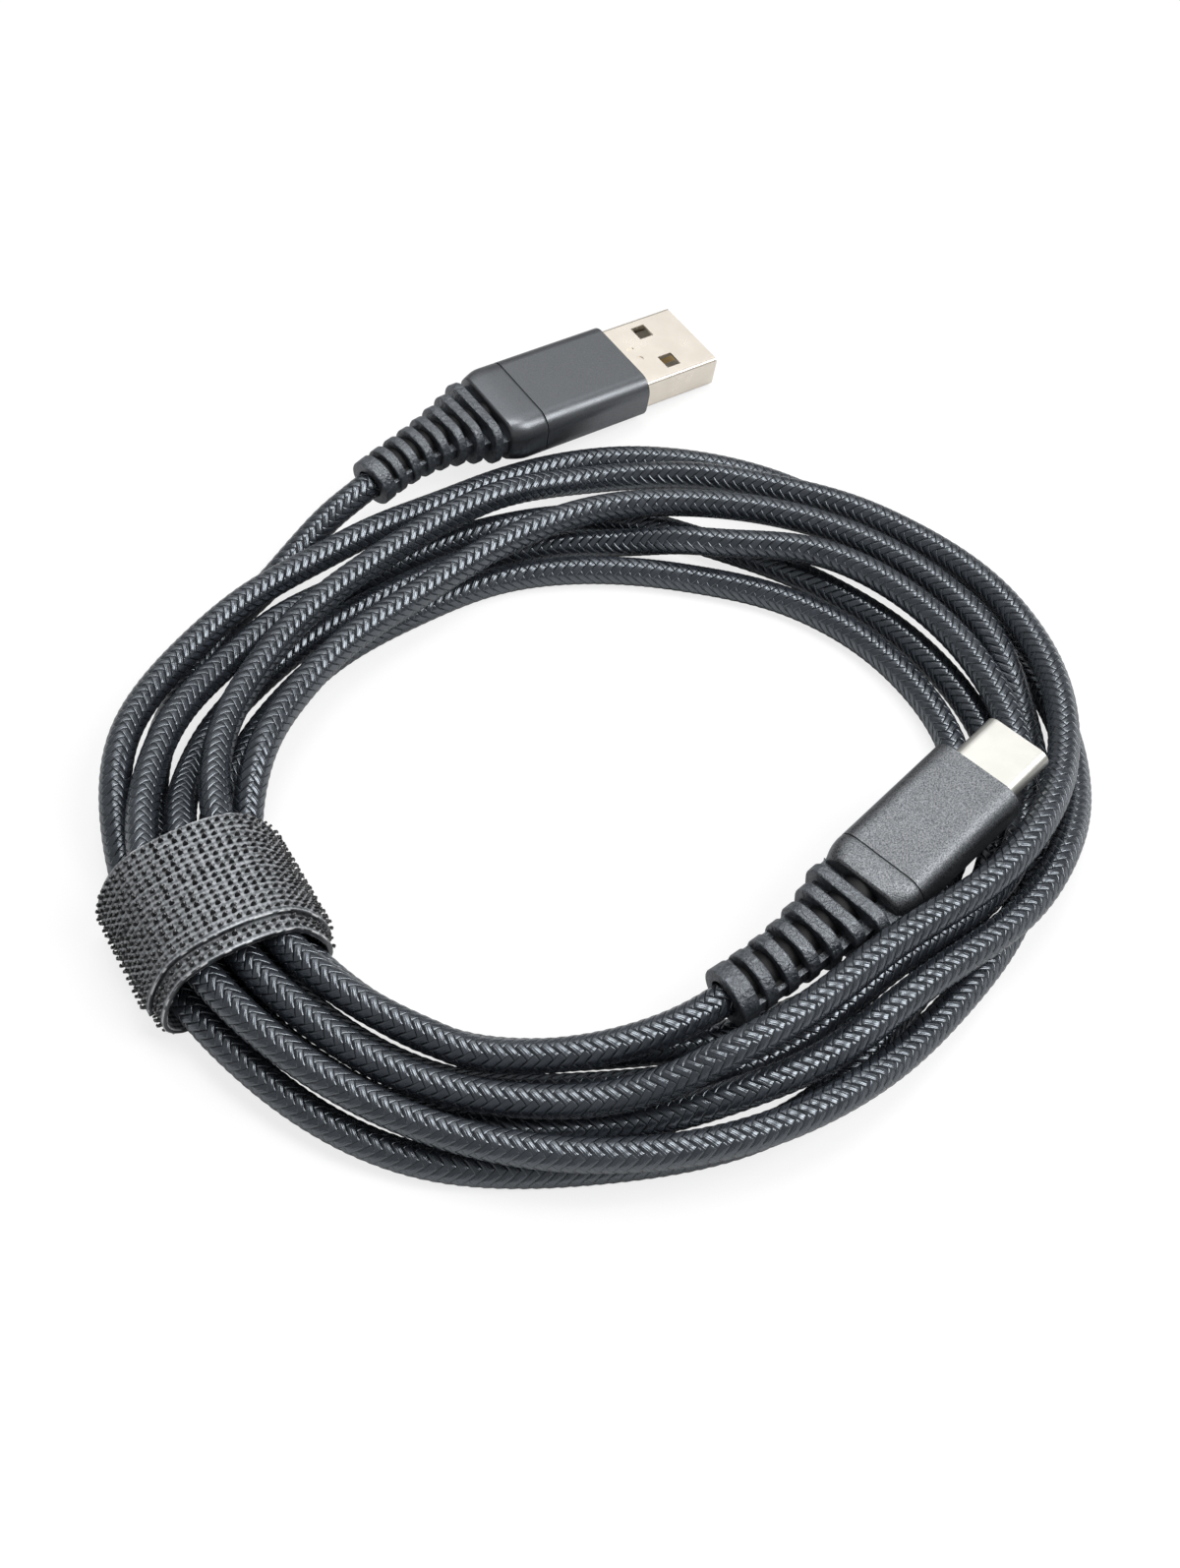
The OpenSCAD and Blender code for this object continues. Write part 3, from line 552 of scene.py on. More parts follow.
COOL_SHEEN = rgb(0.88, 0.94, 1.0)
SMOOTH_MOULDING = dict(contrast=0.3, rough=0.45, spread=0.05, depth=0.004 * MM)
A_SLEEVE = grained("fine_blasted_aluminium", rgb(0.115, 0.122, 0.132), rgb(0.165, 0.174, 0.184),
                   scale=6000, contrast=0.3, rough=0.35, spread=0.03, depth=0.003 * MM,
                   Metallic=0.85, Specular_IOR_Level=0.6)
C_SLEEVE = grained("blasted_aluminium", rgb(0.055, 0.06, 0.067), rgb(0.25, 0.261, 0.272),
                   scale=6500, contrast=0.22, rough=0.38, spread=0.04, depth=0.014 * MM,
                   Metallic=0.9, Specular_IOR_Level=0.6)
ELASTOMER = grained("relief_elastomer", rgb(0.007, 0.009, 0.012), rgb(0.046, 0.051, 0.062),
                    scale=1900, contrast=0.17, rough=0.43, spread=0.05, depth=0.07 * MM,
                    Specular_IOR_Level=0.8, IOR=1.85, Specular_Tint=COOL_SHEEN)
# Painted shade for the core in the grooves between the relief's rings.
PAINTED_GROOVE_SHADE = grained("relief_groove_painted_shade", rgb(0.004, 0.004, 0.005), rgb(0.010, 0.010, 0.012),
                 scale=2600, contrast=0.3, rough=0.6, spread=0.05, depth=0.012 * MM,
                 Specular_IOR_Level=0.3)
MOULD = grained("inner_mould", rgb(0.03, 0.03, 0.03), rgb(0.05, 0.05, 0.05),
                scale=2500, contrast=0.25, rough=0.6, spread=0.05, depth=0.006 * MM)
WHITE_CARRIER = grained("white_carrier", rgb(0.70, 0.69, 0.66), rgb(0.80, 0.79, 0.76),
                        scale=2600, **SMOOTH_MOULDING)
BLACK_CARRIER = grained("black_carrier", rgb(0.012, 0.012, 0.013), rgb(0.025, 0.025, 0.027),
                        scale=2600, **SMOOTH_MOULDING)
BOARD = grained("solder_mask", rgb(0.012, 0.08, 0.035), rgb(0.02, 0.13, 0.06),
                scale=1800, contrast=0.25, rough=0.35, spread=0.04, depth=0.004 * MM)
A_NICKEL = rolled("warm_nickel", rgb(0.80, 0.74, 0.65), rgb(0.86, 0.795, 0.705),
                  A_ACROSS, rough=0.3, depth=0.004 * MM, Metallic=0.85)
C_NICKEL = rolled("bright_nickel", rgb(0.51, 0.505, 0.47), rgb(0.555, 0.549, 0.515),
                  C_ACROSS, rough=0.34, depth=0.003 * MM, Metallic=0.8)
GOLD = rolled("gold_plate", rgb(0.58, 0.44, 0.23), rgb(0.74, 0.58, 0.33),
              A_ACROSS, rough=0.3, depth=0.003 * MM, Metallic=1.0)
SPRING = rolled("spring_steel", rgb(0.5, 0.5, 0.5), rgb(0.65, 0.65, 0.65),
                C_ACROSS, rough=0.3, depth=0.003 * MM, Metallic=1.0)


def wire_insulation(colour, light):
    return grained(colour + "_insulation", rgb(*(0.75 * part for part in light[:3])), light,
                   scale=2200, **SMOOTH_MOULDING)


def braid_material():
    made, tree, shader = material("braided_nylon", Specular_IOR_Level=1.0, IOR=1.68,
                                  Specular_Tint=rgb(0.84, 0.92, 1.0))
    # The near-black groove colour is painted shade between and under the floats.
    out = tree.group(BRAID, Strands=float(STRANDS), Step=STRAND_STEP, Filaments=3.0,
                     Flatness=0.4, Groove=rgb(0.001, 0.001, 0.0015),
                     Strand=rgb(0.026, 0.030, 0.038))
    surface(tree, shader, out["Colour"], tree.math("ADD", out["Rough"], 0.22), out["Height"],
            0.18 * MM)
    return made


# ---- plugs ---------------------------------------------------------------------
FINISHES = {
    "usb_a_shell": A_NICKEL, "usb_c_shell": C_NICKEL,
    "usb_a_tongue": WHITE_CARRIER, "usb_c_insulator": BLACK_CARRIER,
    "usb_a_contacts": GOLD, "usb_c_upper_contacts": GOLD, "usb_c_lower_contacts": GOLD,
    "usb_a_inner_mould": MOULD, "usb_c_inner_mould": MOULD,
    "usb_a_sleeve": A_SLEEVE, "usb_c_sleeve": C_SLEEVE,
    "usb_a_relief": ELASTOMER, "usb_c_relief": ELASTOMER,
    "usb_a_core": MOULD, "usb_c_core": MOULD,
    "usb_c_latch_left": SPRING, "usb_c_latch_right": SPRING,
    "usb_c_board": BOARD, "usb_c_resistor": BLACK_CARRIER,
}
for wire, light in (("red", rgb(0.55, 0.04, 0.04)), ("white", rgb(0.8, 0.8, 0.78)),
                    ("green", rgb(0.05, 0.36, 0.12)), ("black", rgb(0.02, 0.02, 0.02))):
    insulation = wire_insulation(wire, light)
    for plug in ("usb_a", "usb_c"):
        FINISHES[f"{plug}_wire_{wire}"] = insulation

# How far each hard edge is rounded, in mm, and from which angle an edge counts as hard.
EDGES = {"usb_a_shell": 0.06, "usb_c_shell": 0.05, "usb_a_sleeve": 0.18, "usb_c_sleeve": 0.18,
         "usb_a_relief": 0.16, "usb_c_relief": 0.16, "usb_a_tongue": 0.06}
HARD_EDGE = radians(35)


def dress(name):
    """Gives a node its finish, and rounds its hard edges."""
    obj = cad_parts[name]
    obj.data.materials.clear()
    obj.data.materials.append(FINISHES[name])
    if name in EDGES:
        edge = obj.modifiers.new("rounded_edges", "BEVEL")
        edge.width = EDGES[name] * MM
        edge.segments = 2
        edge.limit_method = "ANGLE"
        edge.angle_limit = HARD_EDGE
        edge.harden_normals = True


for node_name in FINISHES:
    dress(node_name)

# ---- cord ----------------------------------------------------------------------
cord, cord_line = braided_cord()
cord.data.materials.append(braid_material())
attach(cord, "cable")
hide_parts("cord_coil", "cord_a_lead", "cord_c_lead")

# ---- reliefs, in mm --------------------------------------------------------------
# Where each plug's tip is and how it faces, where its sleeve and its collar end behind the tip,
# the relief's arc with its bend and tilt in degrees, the sleeve's width, height and corner,
# the width of the first ring, the thickness of the last, and how many rings there are.
RELIEFS = {
    "usb_a": dict(tip=(12.7, 60.5, 2.9), facing=A_PLUG, sleeve_end=28.3, collar_end=33.5,
                  arc=19.0, bend=17.0, tilt=37.0, sleeve=(13.9, 6.5, 2.2), first_width=12.0,
                  last_size=6.2, count=8),
    "usb_c": dict(tip=(46.2, -16.3, 10.2), facing=C_PLUG, sleeve_end=23.1, collar_end=26.4,
                  arc=19.3, bend=10.5, tilt=192.0, sleeve=(11.4, 6.0, 2.2), first_width=10.7,
                  last_size=6.6, count=7),
}
CORE_D = 4.6
SPOKES = 72
# A collar's skin: how far behind the sleeve's end or its own end, and how far drawn in.
SEAM = ((0, 0.5), (0, 0.16), (0.06, 0.06), (0.16, 0.015), (0.4, 0.0))
COLLAR_BACK = ((0.09, 0.8), (0.12, 1.0), (0.12, 2.4))
SHOULDER = 2.6
SHOULDER_STEPS = 9
# A ring takes this share of the pitch, to each side of its middle.
RING_HALF, LAST_RING_HALF = 0.27, 0.4
FIRST_MIDDLE = 0.8
RING_EDGE = 0.16
# Where the core starts inside the collar and comes free of it, as parts of the arc.
CORE_START, CORE_FREE = -0.01, 0.004
# How much narrower a web is than its ring, and half its thickness as a share of the ring's.
WEB_STEP, WEB_HALF = 0.5, 0.15
FIRST_WEB_HALF = 0.85
# The last ring's back: how far drawn in, and how far along, so that its middle sinks in.
LAST_BACK = ((0.9, 0.0), (1.2, 0.0), (1.3, -0.04))
LAST_CORNER = 3.0
CRISP_EDGE = radians(22)


def spoke_angles():
    """Angles round a ring, from the +y side, drawn closer near the sides, where the webs are."""
    angles = 2 * pi * np.arange(SPOKES) / SPOKES
    return angles - 0.42 * np.sin(2 * angles)


ANGLES = spoke_angles()
# How far each spoke reaches to the side and upwards, for each unit of its length.
TO_SIDE, TO_TOP = np.abs(np.cos(ANGLES)), np.abs(np.sin(ANGLES))


def block_outline(half_width, half_height):
    return np.minimum(half_width / np.maximum(TO_SIDE, 1e-6),
                      half_height / np.maximum(TO_TOP, 1e-6))


def rounded_outline(width, height, corner):
    """A rounded rectangle, as the length of each spoke."""
    half_w, half_h = width / 2, height / 2
    corner = min(corner, half_w - 0.01, half_h - 0.01)
    y0, z0 = half_w - corner, half_h - corner
    b = TO_SIDE * y0 + TO_TOP * z0
    inside = np.maximum(b * b - (y0 * y0 + z0 * z0 - corner * corner), 0)
    on_corner = b + np.sqrt(inside)
    use = (on_corner * TO_SIDE > y0) & (on_corner * TO_TOP > z0)
    return np.where(use, on_corner, block_outline(half_w, half_h))


def groove_outline(width, web_half):
    """The core's circle joined with a web out to each side."""
    return np.maximum(CORE_D / 2, block_outline(width / 2, web_half))


def on_arc(points, arc, bend, tilt, t, collar_end):
    """Places points in the plug's frame at the part t of the way along the relief's arc."""
    radius = arc * 180 / pi / bend
    points = points @ np.array(Matrix.Rotation(radians(-tilt), 3, "X")).T
    points = points + [0, radius, 0]
    points = points @ np.array(Matrix.Rotation(radians(bend * t), 3, "Z")).T
    points = points - [0, radius, 0]
    points = points @ np.array(Matrix.Rotation(radians(tilt), 3, "X")).T
    return points - [collar_end, 0, 0]


def lofted(name, rings):
    """A closed skin over rings of equal count, with both ends closed by fans."""
    n = SPOKES
    vertices = np.concatenate(rings + [rings[0].mean(0, keepdims=True),
                                       rings[-1].mean(0, keepdims=True)])
    first, last = len(rings) * n, len(rings) * n + 1
    faces = [(i * n + k, i * n + (k + 1) % n, (i + 1) * n + (k + 1) % n, (i + 1) * n + k)
             for i in range(len(rings) - 1) for k in range(n)]
    end = (len(rings) - 1) * n
    for k in range(n):
        beside = (k + 1) % n
        faces.append((first, beside, k))
        faces.append((last, end + k, end + beside))
    return mesh_object(name, vertices, faces)


def plug_relief(plug, tip, facing, sleeve_end, collar_end, arc, bend, tilt, sleeve, first_width,
                last_size, count):
    """A plug's collar, and behind it the relief: rings on the core, with webs between them."""
    axes = np.array([turned(axis, *facing) for axis in ((1, 0, 0), (0, 1, 0), (0, 0, 1))]).T
    width, height, corner = sleeve
    pitch = arc / (count + 0.2)

    def flat_ring(outline):
        return np.stack([np.zeros(SPOKES), outline * np.cos(ANGLES), outline * np.sin(ANGLES)], 1)

    def placed(points):
        return (points @ axes.T + tip) * MM

    def collar_ring(behind, side, top):
        """Drawn in by side to the left and right, and by top above and below."""
        outline = rounded_outline(width - 2 * side, height - 2 * top, corner)
        return placed(flat_ring(outline) - [behind, 0, 0])

    def relief_ring(t, outline):
        return placed(on_arc(flat_ring(outline), arc, bend, tilt, t, collar_end))

    def ring_size(i):
        """How far ring i is from the last one in size, 1 to 0, and its width and height."""
        share = (1 - i / (count - 1)) ** 3
        return (share, last_size + (first_width - last_size) * share,
                last_size + (height - 0.2 - last_size) * share)

    def web_outline(i):
        _, ring_w, ring_h = ring_size(i)
        return groove_outline(ring_w - WEB_STEP, WEB_HALF * ring_h)

    # Collar: flush with the sleeve behind a fine seam, then drawn in towards the first groove.
    collar = [collar_ring(sleeve_end + behind, inset, inset) for behind, inset in SEAM]
    for t in np.linspace(0, 1, SHOULDER_STEPS):
        inset = 1 - cos(t * pi / 2.4)
        collar.append(collar_ring(collar_end - SHOULDER * (1 - t), 0.95 * inset, 0.3 * inset))
    for behind, inset in COLLAR_BACK:
        collar.append(collar_ring(collar_end + behind, inset, 0.65 * inset))
    collar = lofted(plug + "_collar", collar)

    groove_floors = {}
    rings = [relief_ring(CORE_START, groove_outline(first_width, FIRST_WEB_HALF)),
             relief_ring(CORE_FREE, web_outline(0))]
    for i in range(count):
        last = i == count - 1
        share, ring_w, ring_h = ring_size(i)
        half = pitch * (LAST_RING_HALF if last else RING_HALF) / arc
        middle = (i + FIRST_MIDDLE) * pitch / arc
        groove_floors[len(rings) - 1] = web_outline(i)
        rings.append(relief_ring(middle - half, web_outline(i)))
        edge = RING_EDGE / arc
        # The rings turn from the sleeve's corners to nearly round ones.
        ring_corner = corner + (0.48 * min(ring_w, ring_h) - corner) * (1 - share) ** 2
        for along, inset in ((-half, 0.35), (-half + 0.15 * edge, 0.1), (-half + edge, 0.0),
                             (half - edge, 0.0), (half - 0.15 * edge, 0.1), (half, 0.35)):
            outline = rounded_outline(ring_w - 2 * inset * 0.6, ring_h - 2 * inset * 0.6,
                                      ring_corner)
            rings.append(relief_ring(middle + along, outline))
        if not last:
            rings.append(relief_ring(middle + half, web_outline(i + 1)))
    for inset, step in LAST_BACK:
        outline = rounded_outline(ring_w - 2 * inset, ring_h - 2 * inset, LAST_CORNER)
        rings.append(relief_ring(middle + half + step, outline))
    rings = lofted(plug + "_ringed_relief", rings)

    for piece, finish in ((collar, FINISHES[plug + "_sleeve"]), (rings, ELASTOMER)):
        piece.data.materials.append(finish)
        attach(piece, "cable")
    rings.data.materials.append(PAINTED_GROOVE_SHADE)
    # The core between the rings gets painted shade: a darker, duller finish than rings and webs.
    for face in rings.data.polygons:
        step, spoke = divmod(face.vertices[0], SPOKES)
        if step in groove_floors:
            face.material_index = int(groove_floors[step][spoke] < CORE_D / 2 + 0.01)
    rings.modifiers.new("crisp_edges", "EDGE_SPLIT").split_angle = CRISP_EDGE
    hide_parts(plug + "_relief")


for plug, relief in RELIEFS.items():
    plug_relief(plug, **relief)

# ---- strap ---------------------------------------------------------------------
STRAP_ANGLE = radians(180 - STRAP_AT)
STRAP_OUT = np.array([cos(STRAP_ANGLE), sin(STRAP_ANGLE), 0])
STRAP_WAY = np.array([-sin(STRAP_ANGLE), cos(STRAP_ANGLE), 0])
STRAP_T = 0.6 * MM
STRAP_W = 14.5 * MM
LAYER_GAP = 0.1 * MM
# How far to one side the first turn lies, so that its edge shows beside the second.
STRAP_STEP = 2.0 * MM
# The bundle's corners in the strap's section, outward and up, and how the strap rounds them.
STRAP_CORNERS = np.array([[40.806, 3.3], [54.8, 3.3], [52.66, 7.64], [43.131, 7.64]]) * MM
STRAP_R = 2.0 * MM
STRAP_SOFTNESS = radians(13)
SECTION_ANGLES = 720
SECTION_STEP = 0.25 * MM
# How high the tail ends on the outer side.
TAIL_END = 3.0 * MM
# A line over the bundle's inner corner, and how far a bend about it would reach before and
# behind it. The strip stops at least BEND_CLEAR short of that line.
PEEL_LINE = np.array([43.131, 10.94]) * MM
PEEL_FLAT = unit(np.array([0.51, 0.86]))
BEND_BEFORE, BEND_BEHIND, BEND_CLEAR = 0.9 * MM, 0.5 * MM, 1.1 * MM
STRIP_COLUMNS = 33
WORN_EDGE = 0.06 * MM

# A hook from its foot to its tip: along the strap, height share, half thickness, half width.
HOOK_SHAPE = [(0.04, 0.0, 0.36, 0.14), (0.05, 0.35, 0.33, 0.13), (0.06, 0.65, 0.30, 0.12),
              (0.12, 0.88, 0.22, 0.12), (0.27, 0.97, 0.10, 0.12), (0.38, 0.78, 0.07, 0.10)]
HOOK_SIDES = 6
HOOK_PITCH = 1.03 * MM
HOOK_HEIGHT = (0.46, 0.54)
HOOK_SUNK = 0.05 * MM
LANE_PITCH = 0.86 * MM
LANES = (np.arange(16) - 7.5) * LANE_PITCH
STEP_LANES = STRAP_W / 2 + np.array([0.5, 1.3]) * MM
# Every other lane is set off by this share of the pitch.
LANE_OFFSET = 0.12
# Underneath, where the strap lies flat, it has no hooks below this height.
LOWEST_HOOK = 1.1 * MM


def strap_outline(grow, lowest):
    """The strap's smooth line round the bundle's corners, anticlockwise from the outer side.

    It is the curve whose reach in each direction is that of the corners, softened, so that
    it bulges between them, and it lies flat where it rests. Its length comes with it."""
    middle = STRAP_CORNERS.mean(axis=0)
    angles = 2 * pi * np.arange(SECTION_ANGLES) / SECTION_ANGLES
    ways = np.stack([np.cos(angles), np.sin(angles)], 1)
    reach = ((STRAP_CORNERS - middle) @ ways.T).max(axis=0)
    away = (angles + pi) % (2 * pi) - pi
    weights = np.exp(-0.5 * (away / STRAP_SOFTNESS) ** 2)
    weights /= weights.sum()
    soft = np.real(np.fft.ifft(np.fft.fft(reach) * np.fft.fft(weights)))
    reach = soft / exp(-0.5 * STRAP_SOFTNESS ** 2) + STRAP_R + grow
    slope = (np.roll(reach, -1) - np.roll(reach, 1)) / (2 * angles[1])
    beside = np.stack([-ways[:, 1], ways[:, 0]], 1)
    points = middle + reach[:, None] * ways + slope[:, None] * beside
    points[:, 1] = np.maximum(points[:, 1], lowest)
    points = np.concatenate([points, points[:1]])
    along = lengths_along(points)
    return places_at(np.arange(0, along[-1], SECTION_STEP), along, points), along[-1]


def section_normals(section, closed):
    if closed:
        ways = unit(np.roll(section, -1, axis=0) - np.roll(section, 1, axis=0))
    else:
        ways = unit(np.gradient(section, axis=0))
    return np.stack([ways[:, 1], -ways[:, 0]], 1)


def strap_place(outward_up, across):
    """From the strap's section and a place across its width to the shared frame."""
    outward_up = np.asarray(outward_up)
    return (COIL_CENTRE + outward_up[..., :1] * STRAP_OUT + np.asarray(across)[..., None]
            * STRAP_WAY + outward_up[..., 1:] * UP)


def strip(name, section, normals, shift, closed):
    """One turn of the strap: a band with real thickness, thinner at its worn edges.

    Its map holds metres along and across it, with one width added across but at its ends."""
    rows, columns = len(section), STRIP_COLUMNS
    edge_columns = np.array([STRAP_W / 2, STRAP_W / 2 - 0.4 * WORN_EDGE])
    across = np.linspace(-0.5, 0.5, columns - 4) * (STRAP_W - 2 * WORN_EDGE)
    across = np.concatenate([-edge_columns, across, edge_columns[::-1]])
    full = 1 - np.clip((np.abs(across) - STRAP_W / 2 + WORN_EDGE) / WORN_EDGE, 0, 1) ** 2
    half = STRAP_T / 2 * (0.7 + 0.3 * np.sqrt(full))
    places = [section[:, None, :] + side * half[None, :, None] * normals[:, None, :]
              for side in (1, -1)]
    widths = np.broadcast_to(across + shift, (rows, columns))
    vertices = np.concatenate([strap_place(each, widths).reshape(-1, 3) for each in places])
    along = lengths_along(section)
    faces, uvs = [], []

    def vertex(face, row, column):
        return (face * rows + row) * columns + column

    def add(corners, on_map, back=False):
        """A face with its corners on the map; back turns it over."""
        order = slice(None, None, -1 if back else 1)
        faces.append(tuple(corners[order]))
        uvs.extend(on_map[order])

    for i in range(rows if closed else rows - 1):
        j = (i + 1) % rows
        a0, a1 = along[i], along[i] + np.linalg.norm(section[j] - section[i])
        for k in range(columns - 1):
            v0, v1 = across[k] + STRAP_W, across[k + 1] + STRAP_W
            add([vertex(0, i, k), vertex(0, i, k + 1), vertex(0, j, k + 1), vertex(0, j, k)],
                [(a0, v0), (a0, v1), (a1, v1), (a1, v0)])
            add([vertex(1, i, k), vertex(1, j, k), vertex(1, j, k + 1), vertex(1, i, k + 1)],
                [(a0, v0), (a1, v0), (a1, v1), (a0, v1)])
        for k, back in ((0, False), (columns - 1, True)):
            v0 = across[k] + STRAP_W
            v1 = v0 + STRAP_T if back else v0 - STRAP_T
            add([vertex(0, i, k), vertex(0, j, k), vertex(1, j, k), vertex(1, i, k)],
                [(a0, v0), (a1, v0), (a1, v1), (a0, v1)], back)
    if not closed:
        for i, back in ((0, False), (rows - 1, True)):
            a0, a1 = along[i], along[i] + STRAP_T
            for k in range(columns - 1):
                add([vertex(0, i, k), vertex(0, i, k + 1), vertex(1, i, k + 1), vertex(1, i, k)],
                    [(a0, across[k]), (a0, across[k + 1]), (a1, across[k + 1]),
                     (a1, across[k])], back)
    return mesh_object(name, vertices, faces, uvs)


def hook_points(place, normal, across, height, twist):
    """The corners of one hook, ring by ring, which leans along the strap and twists a little."""
    way = np.array([-normal[1], normal[0]])
    points = []
    for s, (forward, up, half_thick, half_wide) in enumerate(HOOK_SHAPE):
        centre = (place + normal * (STRAP_T / 2 - HOOK_SUNK + up * height)
                  + way * forward * MM)
        before = HOOK_SHAPE[max(s - 1, 0)]
        after = HOOK_SHAPE[min(s + 1, len(HOOK_SHAPE) - 1)]
        ahead = unit(normal * (after[1] - before[1]) * height
                     + way * (after[0] - before[0]) * MM)
        out = np.array([ahead[1], -ahead[0]])
        for k in range(HOOK_SIDES):
            angle = 2 * pi * (k + 0.5) / HOOK_SIDES
            points.append(strap_place(centre + out * cos(angle) * half_thick * MM,
                                      across + sin(angle) * half_wide * MM + twist * s))
    return points


def hook_faces(first):
    """The faces of one hook, whose corners start at the number first."""
    n, rings = HOOK_SIDES, len(HOOK_SHAPE)
    faces = []
    for s in range(rings - 1):
        near, far = first + s * n, first + (s + 1) * n
        faces += [(near + k, far + k, far + (k + 1) % n, near + (k + 1) % n) for k in range(n)]
    tip = first + (rings - 1) * n
    return faces + [tuple(tip + k for k in range(n))[::-1]]


def hooks(name, section, normals, lanes, start, seed):
    """Rows of small bent hooks that stand on the tape's outer face.

    The map's second number tells how far up its hook each corner lies."""
    rng = np.random.default_rng(seed)
    along = lengths_along(section)
    rows = int((along[-1] - start - 0.3 * MM) / HOOK_PITCH) + 1
    vertices, faces = [], []
    for row in range(rows):
        for lane, across in enumerate(lanes):
            stray = rng.uniform(-0.04, 0.04) * MM
            at = start + (row + LANE_OFFSET * (lane % 2)) * HOOK_PITCH + stray
            place = places_at(at, along, section)
            if place[1] < LOWEST_HOOK:
                continue
            height = rng.uniform(*HOOK_HEIGHT) * MM
            twist = rng.uniform(-0.06, 0.06) * MM
            faces += hook_faces(len(vertices))
            vertices += hook_points(place, unit(places_at(at, along, normals)), across, height,
                                    twist)
    share = [(0.0, shape[1]) for shape in HOOK_SHAPE for _ in range(HOOK_SIDES)]
    uvs = [share[v % len(share)] for face in faces for v in face]
    return mesh_object(name, np.array(vertices), faces, uvs)


def tape_material():
    made, tree, shader = material("hook_tape", Specular_IOR_Level=0.7, IOR=1.8,
                                  Specular_Tint=COOL_SHEEN)
    # Rim is the pale edge line; the last colour is painted shade on the long sides and cut ends.
    out = tree.group(TAPE, Rib=0.65 * MM, Warp=0.5 * MM, Width=STRAP_W,
                     Dark=rgb(0.06, 0.063, 0.067), Light=rgb(0.38, 0.395, 0.415),
                     Rim=rgb(0.6, 0.605, 0.61), Cut=rgb(0.008, 0.008, 0.009))
    surface(tree, shader, out["Colour"], tree.ramp(out["Height"], 0, 1, 0.42, 0.28),
            out["Height"], 0.03 * MM, strength=0.6)
    return made


def hook_material():
    """Black at the foot of each hook, with a paler crest on its bend that is a painted highlight.
    """
    made, tree, shader = material("hook_nylon", Specular_IOR_Level=0.5, IOR=1.6)
    foot = tree.group(GRAIN, Scale=3000.0, Dark=rgb(0.003, 0.003, 0.004),
                      Light=rgb(0.012, 0.012, 0.014), Contrast=0.25)
    # The bend's paler colour, at the very top of each hook, is a painted highlight.
    bend = tree.group(GRAIN, Scale=3000.0, Dark=rgb(0.16, 0.165, 0.172),
                      Light=rgb(0.34, 0.348, 0.36), Contrast=0.25)
    _, up = tree.lay()
    colour = tree.mix(tree.ramp(up, 0.9, 0.97), foot["Colour"], bend["Colour"])
    surface(tree, shader, colour, tree.ramp(foot["Patches"], 0.3, 0.7, 0.2, 0.3),
            foot["Height"], 0.003 * MM)
    return made


# First turn: one closed loop.
first_section, first_loop = strap_outline(STRAP_T / 2, 1.5 * STRAP_T + LAYER_GAP)
first_normals = section_normals(first_section, True)
first_turn = strip("strap_first_turn", first_section, first_normals, STRAP_STEP, True)

# Second turn: one strip from below the tail's end, underneath, up the inner side and over.
second_loop, _ = strap_outline(1.5 * STRAP_T + LAYER_GAP, 0.5 * STRAP_T)
cut = next(i for i, p in enumerate(second_loop)
           if p[0] > STRAP_CORNERS[2][0] and second_loop[i - 1][1] < TAIL_END <= p[1])
second_section = np.roll(second_loop, -cut, axis=0)
while (second_section[-1] - PEEL_LINE) @ PEEL_FLAT > -BEND_CLEAR:
    second_section = second_section[:-1]
second_normals = section_normals(second_section, False)
second_turn = strip("strap_second_turn", second_section, second_normals, 0.0, False)
second_hooks = hooks("strap_second_hooks", second_section, second_normals, LANES, 0.5 * MM, 3)
# The first turn's hooks show on its step alone.
first_hooks = hooks("strap_first_hooks", first_section, first_normals, STEP_LANES, 0.3 * MM, 4)

tape, hook_nylon = tape_material(), hook_material()
for piece, finish in ((first_turn, tape), (second_turn, tape),
                      (first_hooks, hook_nylon), (second_hooks, hook_nylon)):
    piece.data.materials.append(finish)

for piece in (second_turn, second_hooks):
    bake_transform(piece)
for piece in (first_turn, first_hooks):
    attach(piece, "cable")
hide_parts("strap_band")
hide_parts("strap_tail")

# ---- floor and light -------------------------------------------------------------
WHITE = rgb(1, 1, 1)
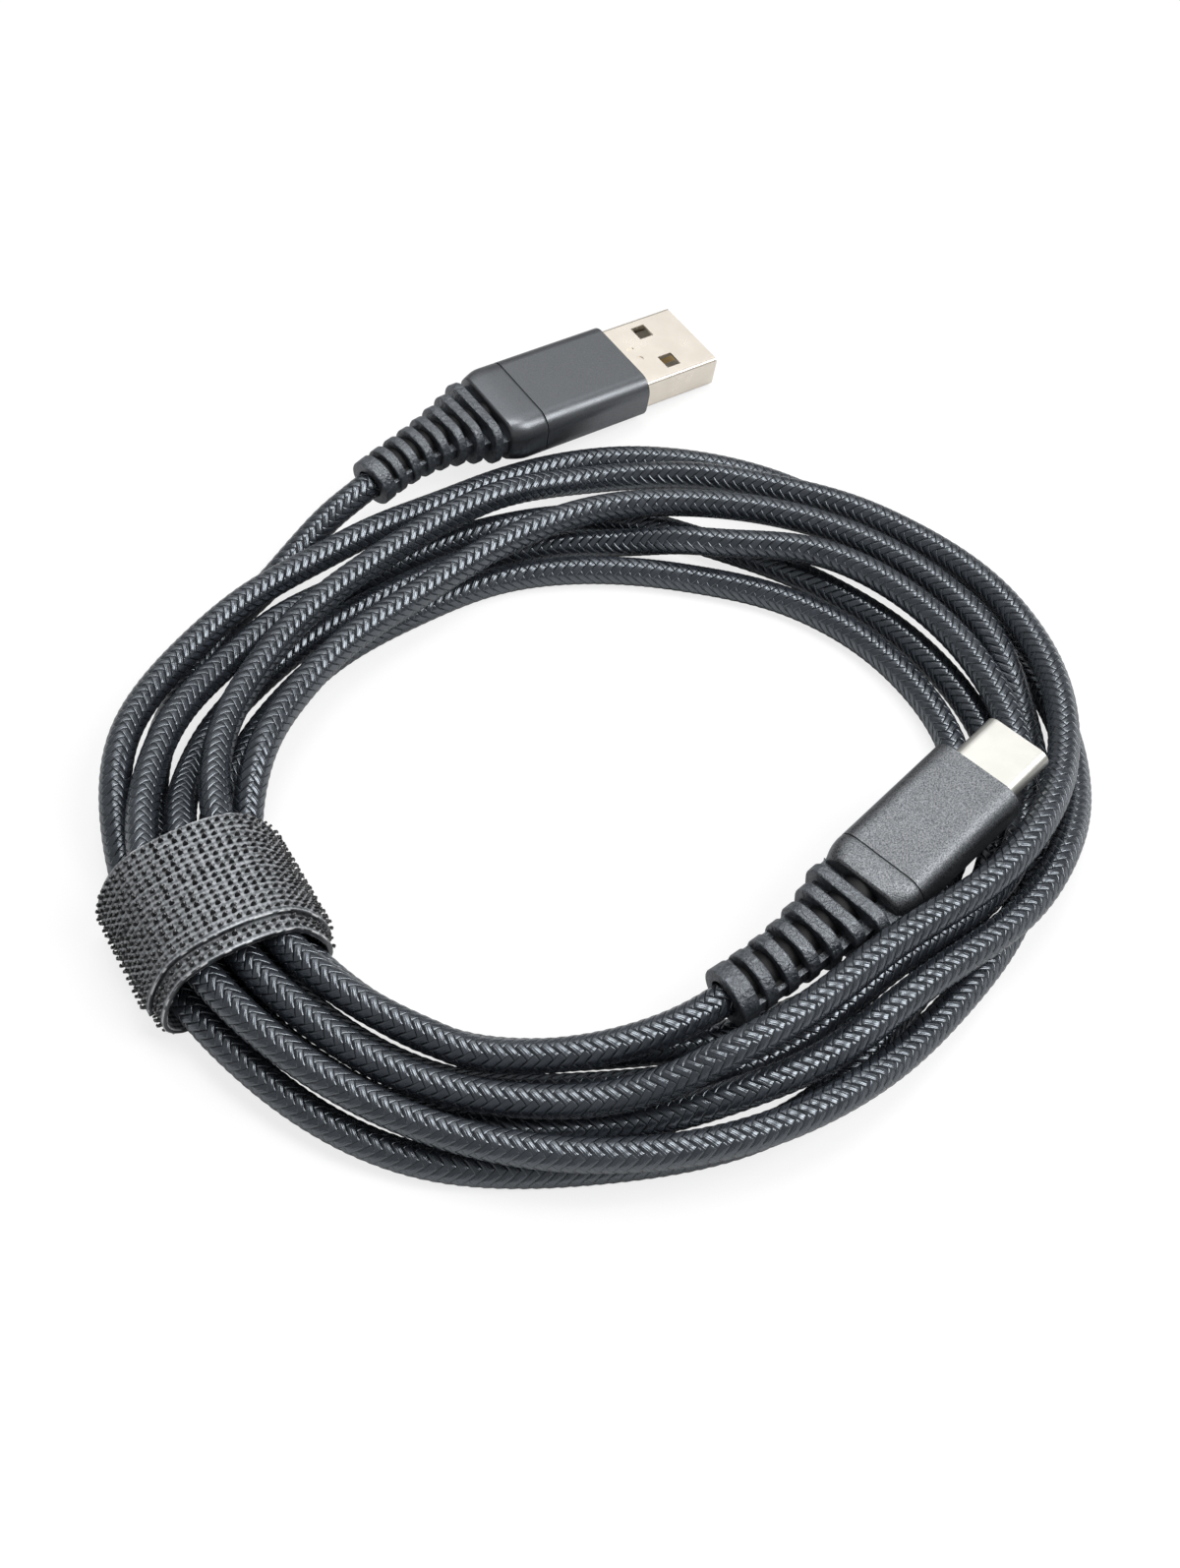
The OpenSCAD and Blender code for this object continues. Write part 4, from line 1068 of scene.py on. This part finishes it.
# The paper as light meets it, and what the camera is shown of it: part colour, part glow.
FLOOR_PAPER, FLOOR_SEEN, FLOOR_GLOW = rgb(0.7, 0.7, 0.7), rgb(0.22, 0.22, 0.22), 0.785
FLOOR_REACH = 3
# White to the camera and through clear parts, dimmer as a light.
SKY_LIGHT, SKY_SEEN = 0.27, 1.0


def floor_material():
    made, tree, shader = material("floor_paper", Roughness=0.6, Specular_IOR_Level=0.2,
                                  Emission_Color=WHITE)
    by_camera = tree.node("ShaderNodeLightPath").outputs["Is Camera Ray"]
    tree.link(tree.mix(by_camera, FLOOR_PAPER, FLOOR_SEEN), shader.inputs["Base Color"])
    tree.link(tree.math("MULTIPLY", by_camera, FLOOR_GLOW), shader.inputs["Emission Strength"])
    return made


def studio_world():
    world = bpy.data.worlds.new("studio")
    world.use_nodes = True
    tree, sky = Tree(world.node_tree), world.node_tree.nodes["Background"]
    sky.inputs["Color"].default_value = WHITE
    rays = tree.node("ShaderNodeLightPath").outputs
    seen = tree.math("ADD", rays["Is Camera Ray"], rays["Is Transmission Ray"], clamp=True)
    tree.link(tree.math("MULTIPLY_ADD", seen, SKY_SEEN - SKY_LIGHT, SKY_LIGHT),
              sky.inputs["Strength"])
    return world


def softbox(name, place, size, power):
    """A flat lamp that faces the origin, its size in metres and its power in watts."""
    data = bpy.data.lights.new(name, "AREA")
    data.shape = "RECTANGLE"
    data.size, data.size_y = size
    data.energy = power
    lamp = bpy.data.objects.new(name, data)
    lamp.location = place
    lamp.rotation_euler = (-Vector(place)).to_track_quat("-Z", "Y").to_euler()
    bpy.context.scene.collection.objects.link(lamp)


floor = mesh_object("floor", [(x * FLOOR_REACH, y * FLOOR_REACH, 0) for x, y in
                              ((-1, -1), (1, -1), (1, 1), (-1, 1))], [(0, 1, 2, 3)])
floor.data.materials.append(floor_material())
bpy.context.scene.world = studio_world()
softbox("overhead", (0.06, 0.16, 0.88), size=(0.34, 0.34), power=2.6)
softbox("right", (0.56, -0.1, 0.68), size=(0.45, 0.45), power=4.6)
softbox("back_card", (-0.02, 0.50, 0.64), size=(0.8, 0.5), power=1.5)

bpy.context.scene.view_settings.view_transform = "Standard"
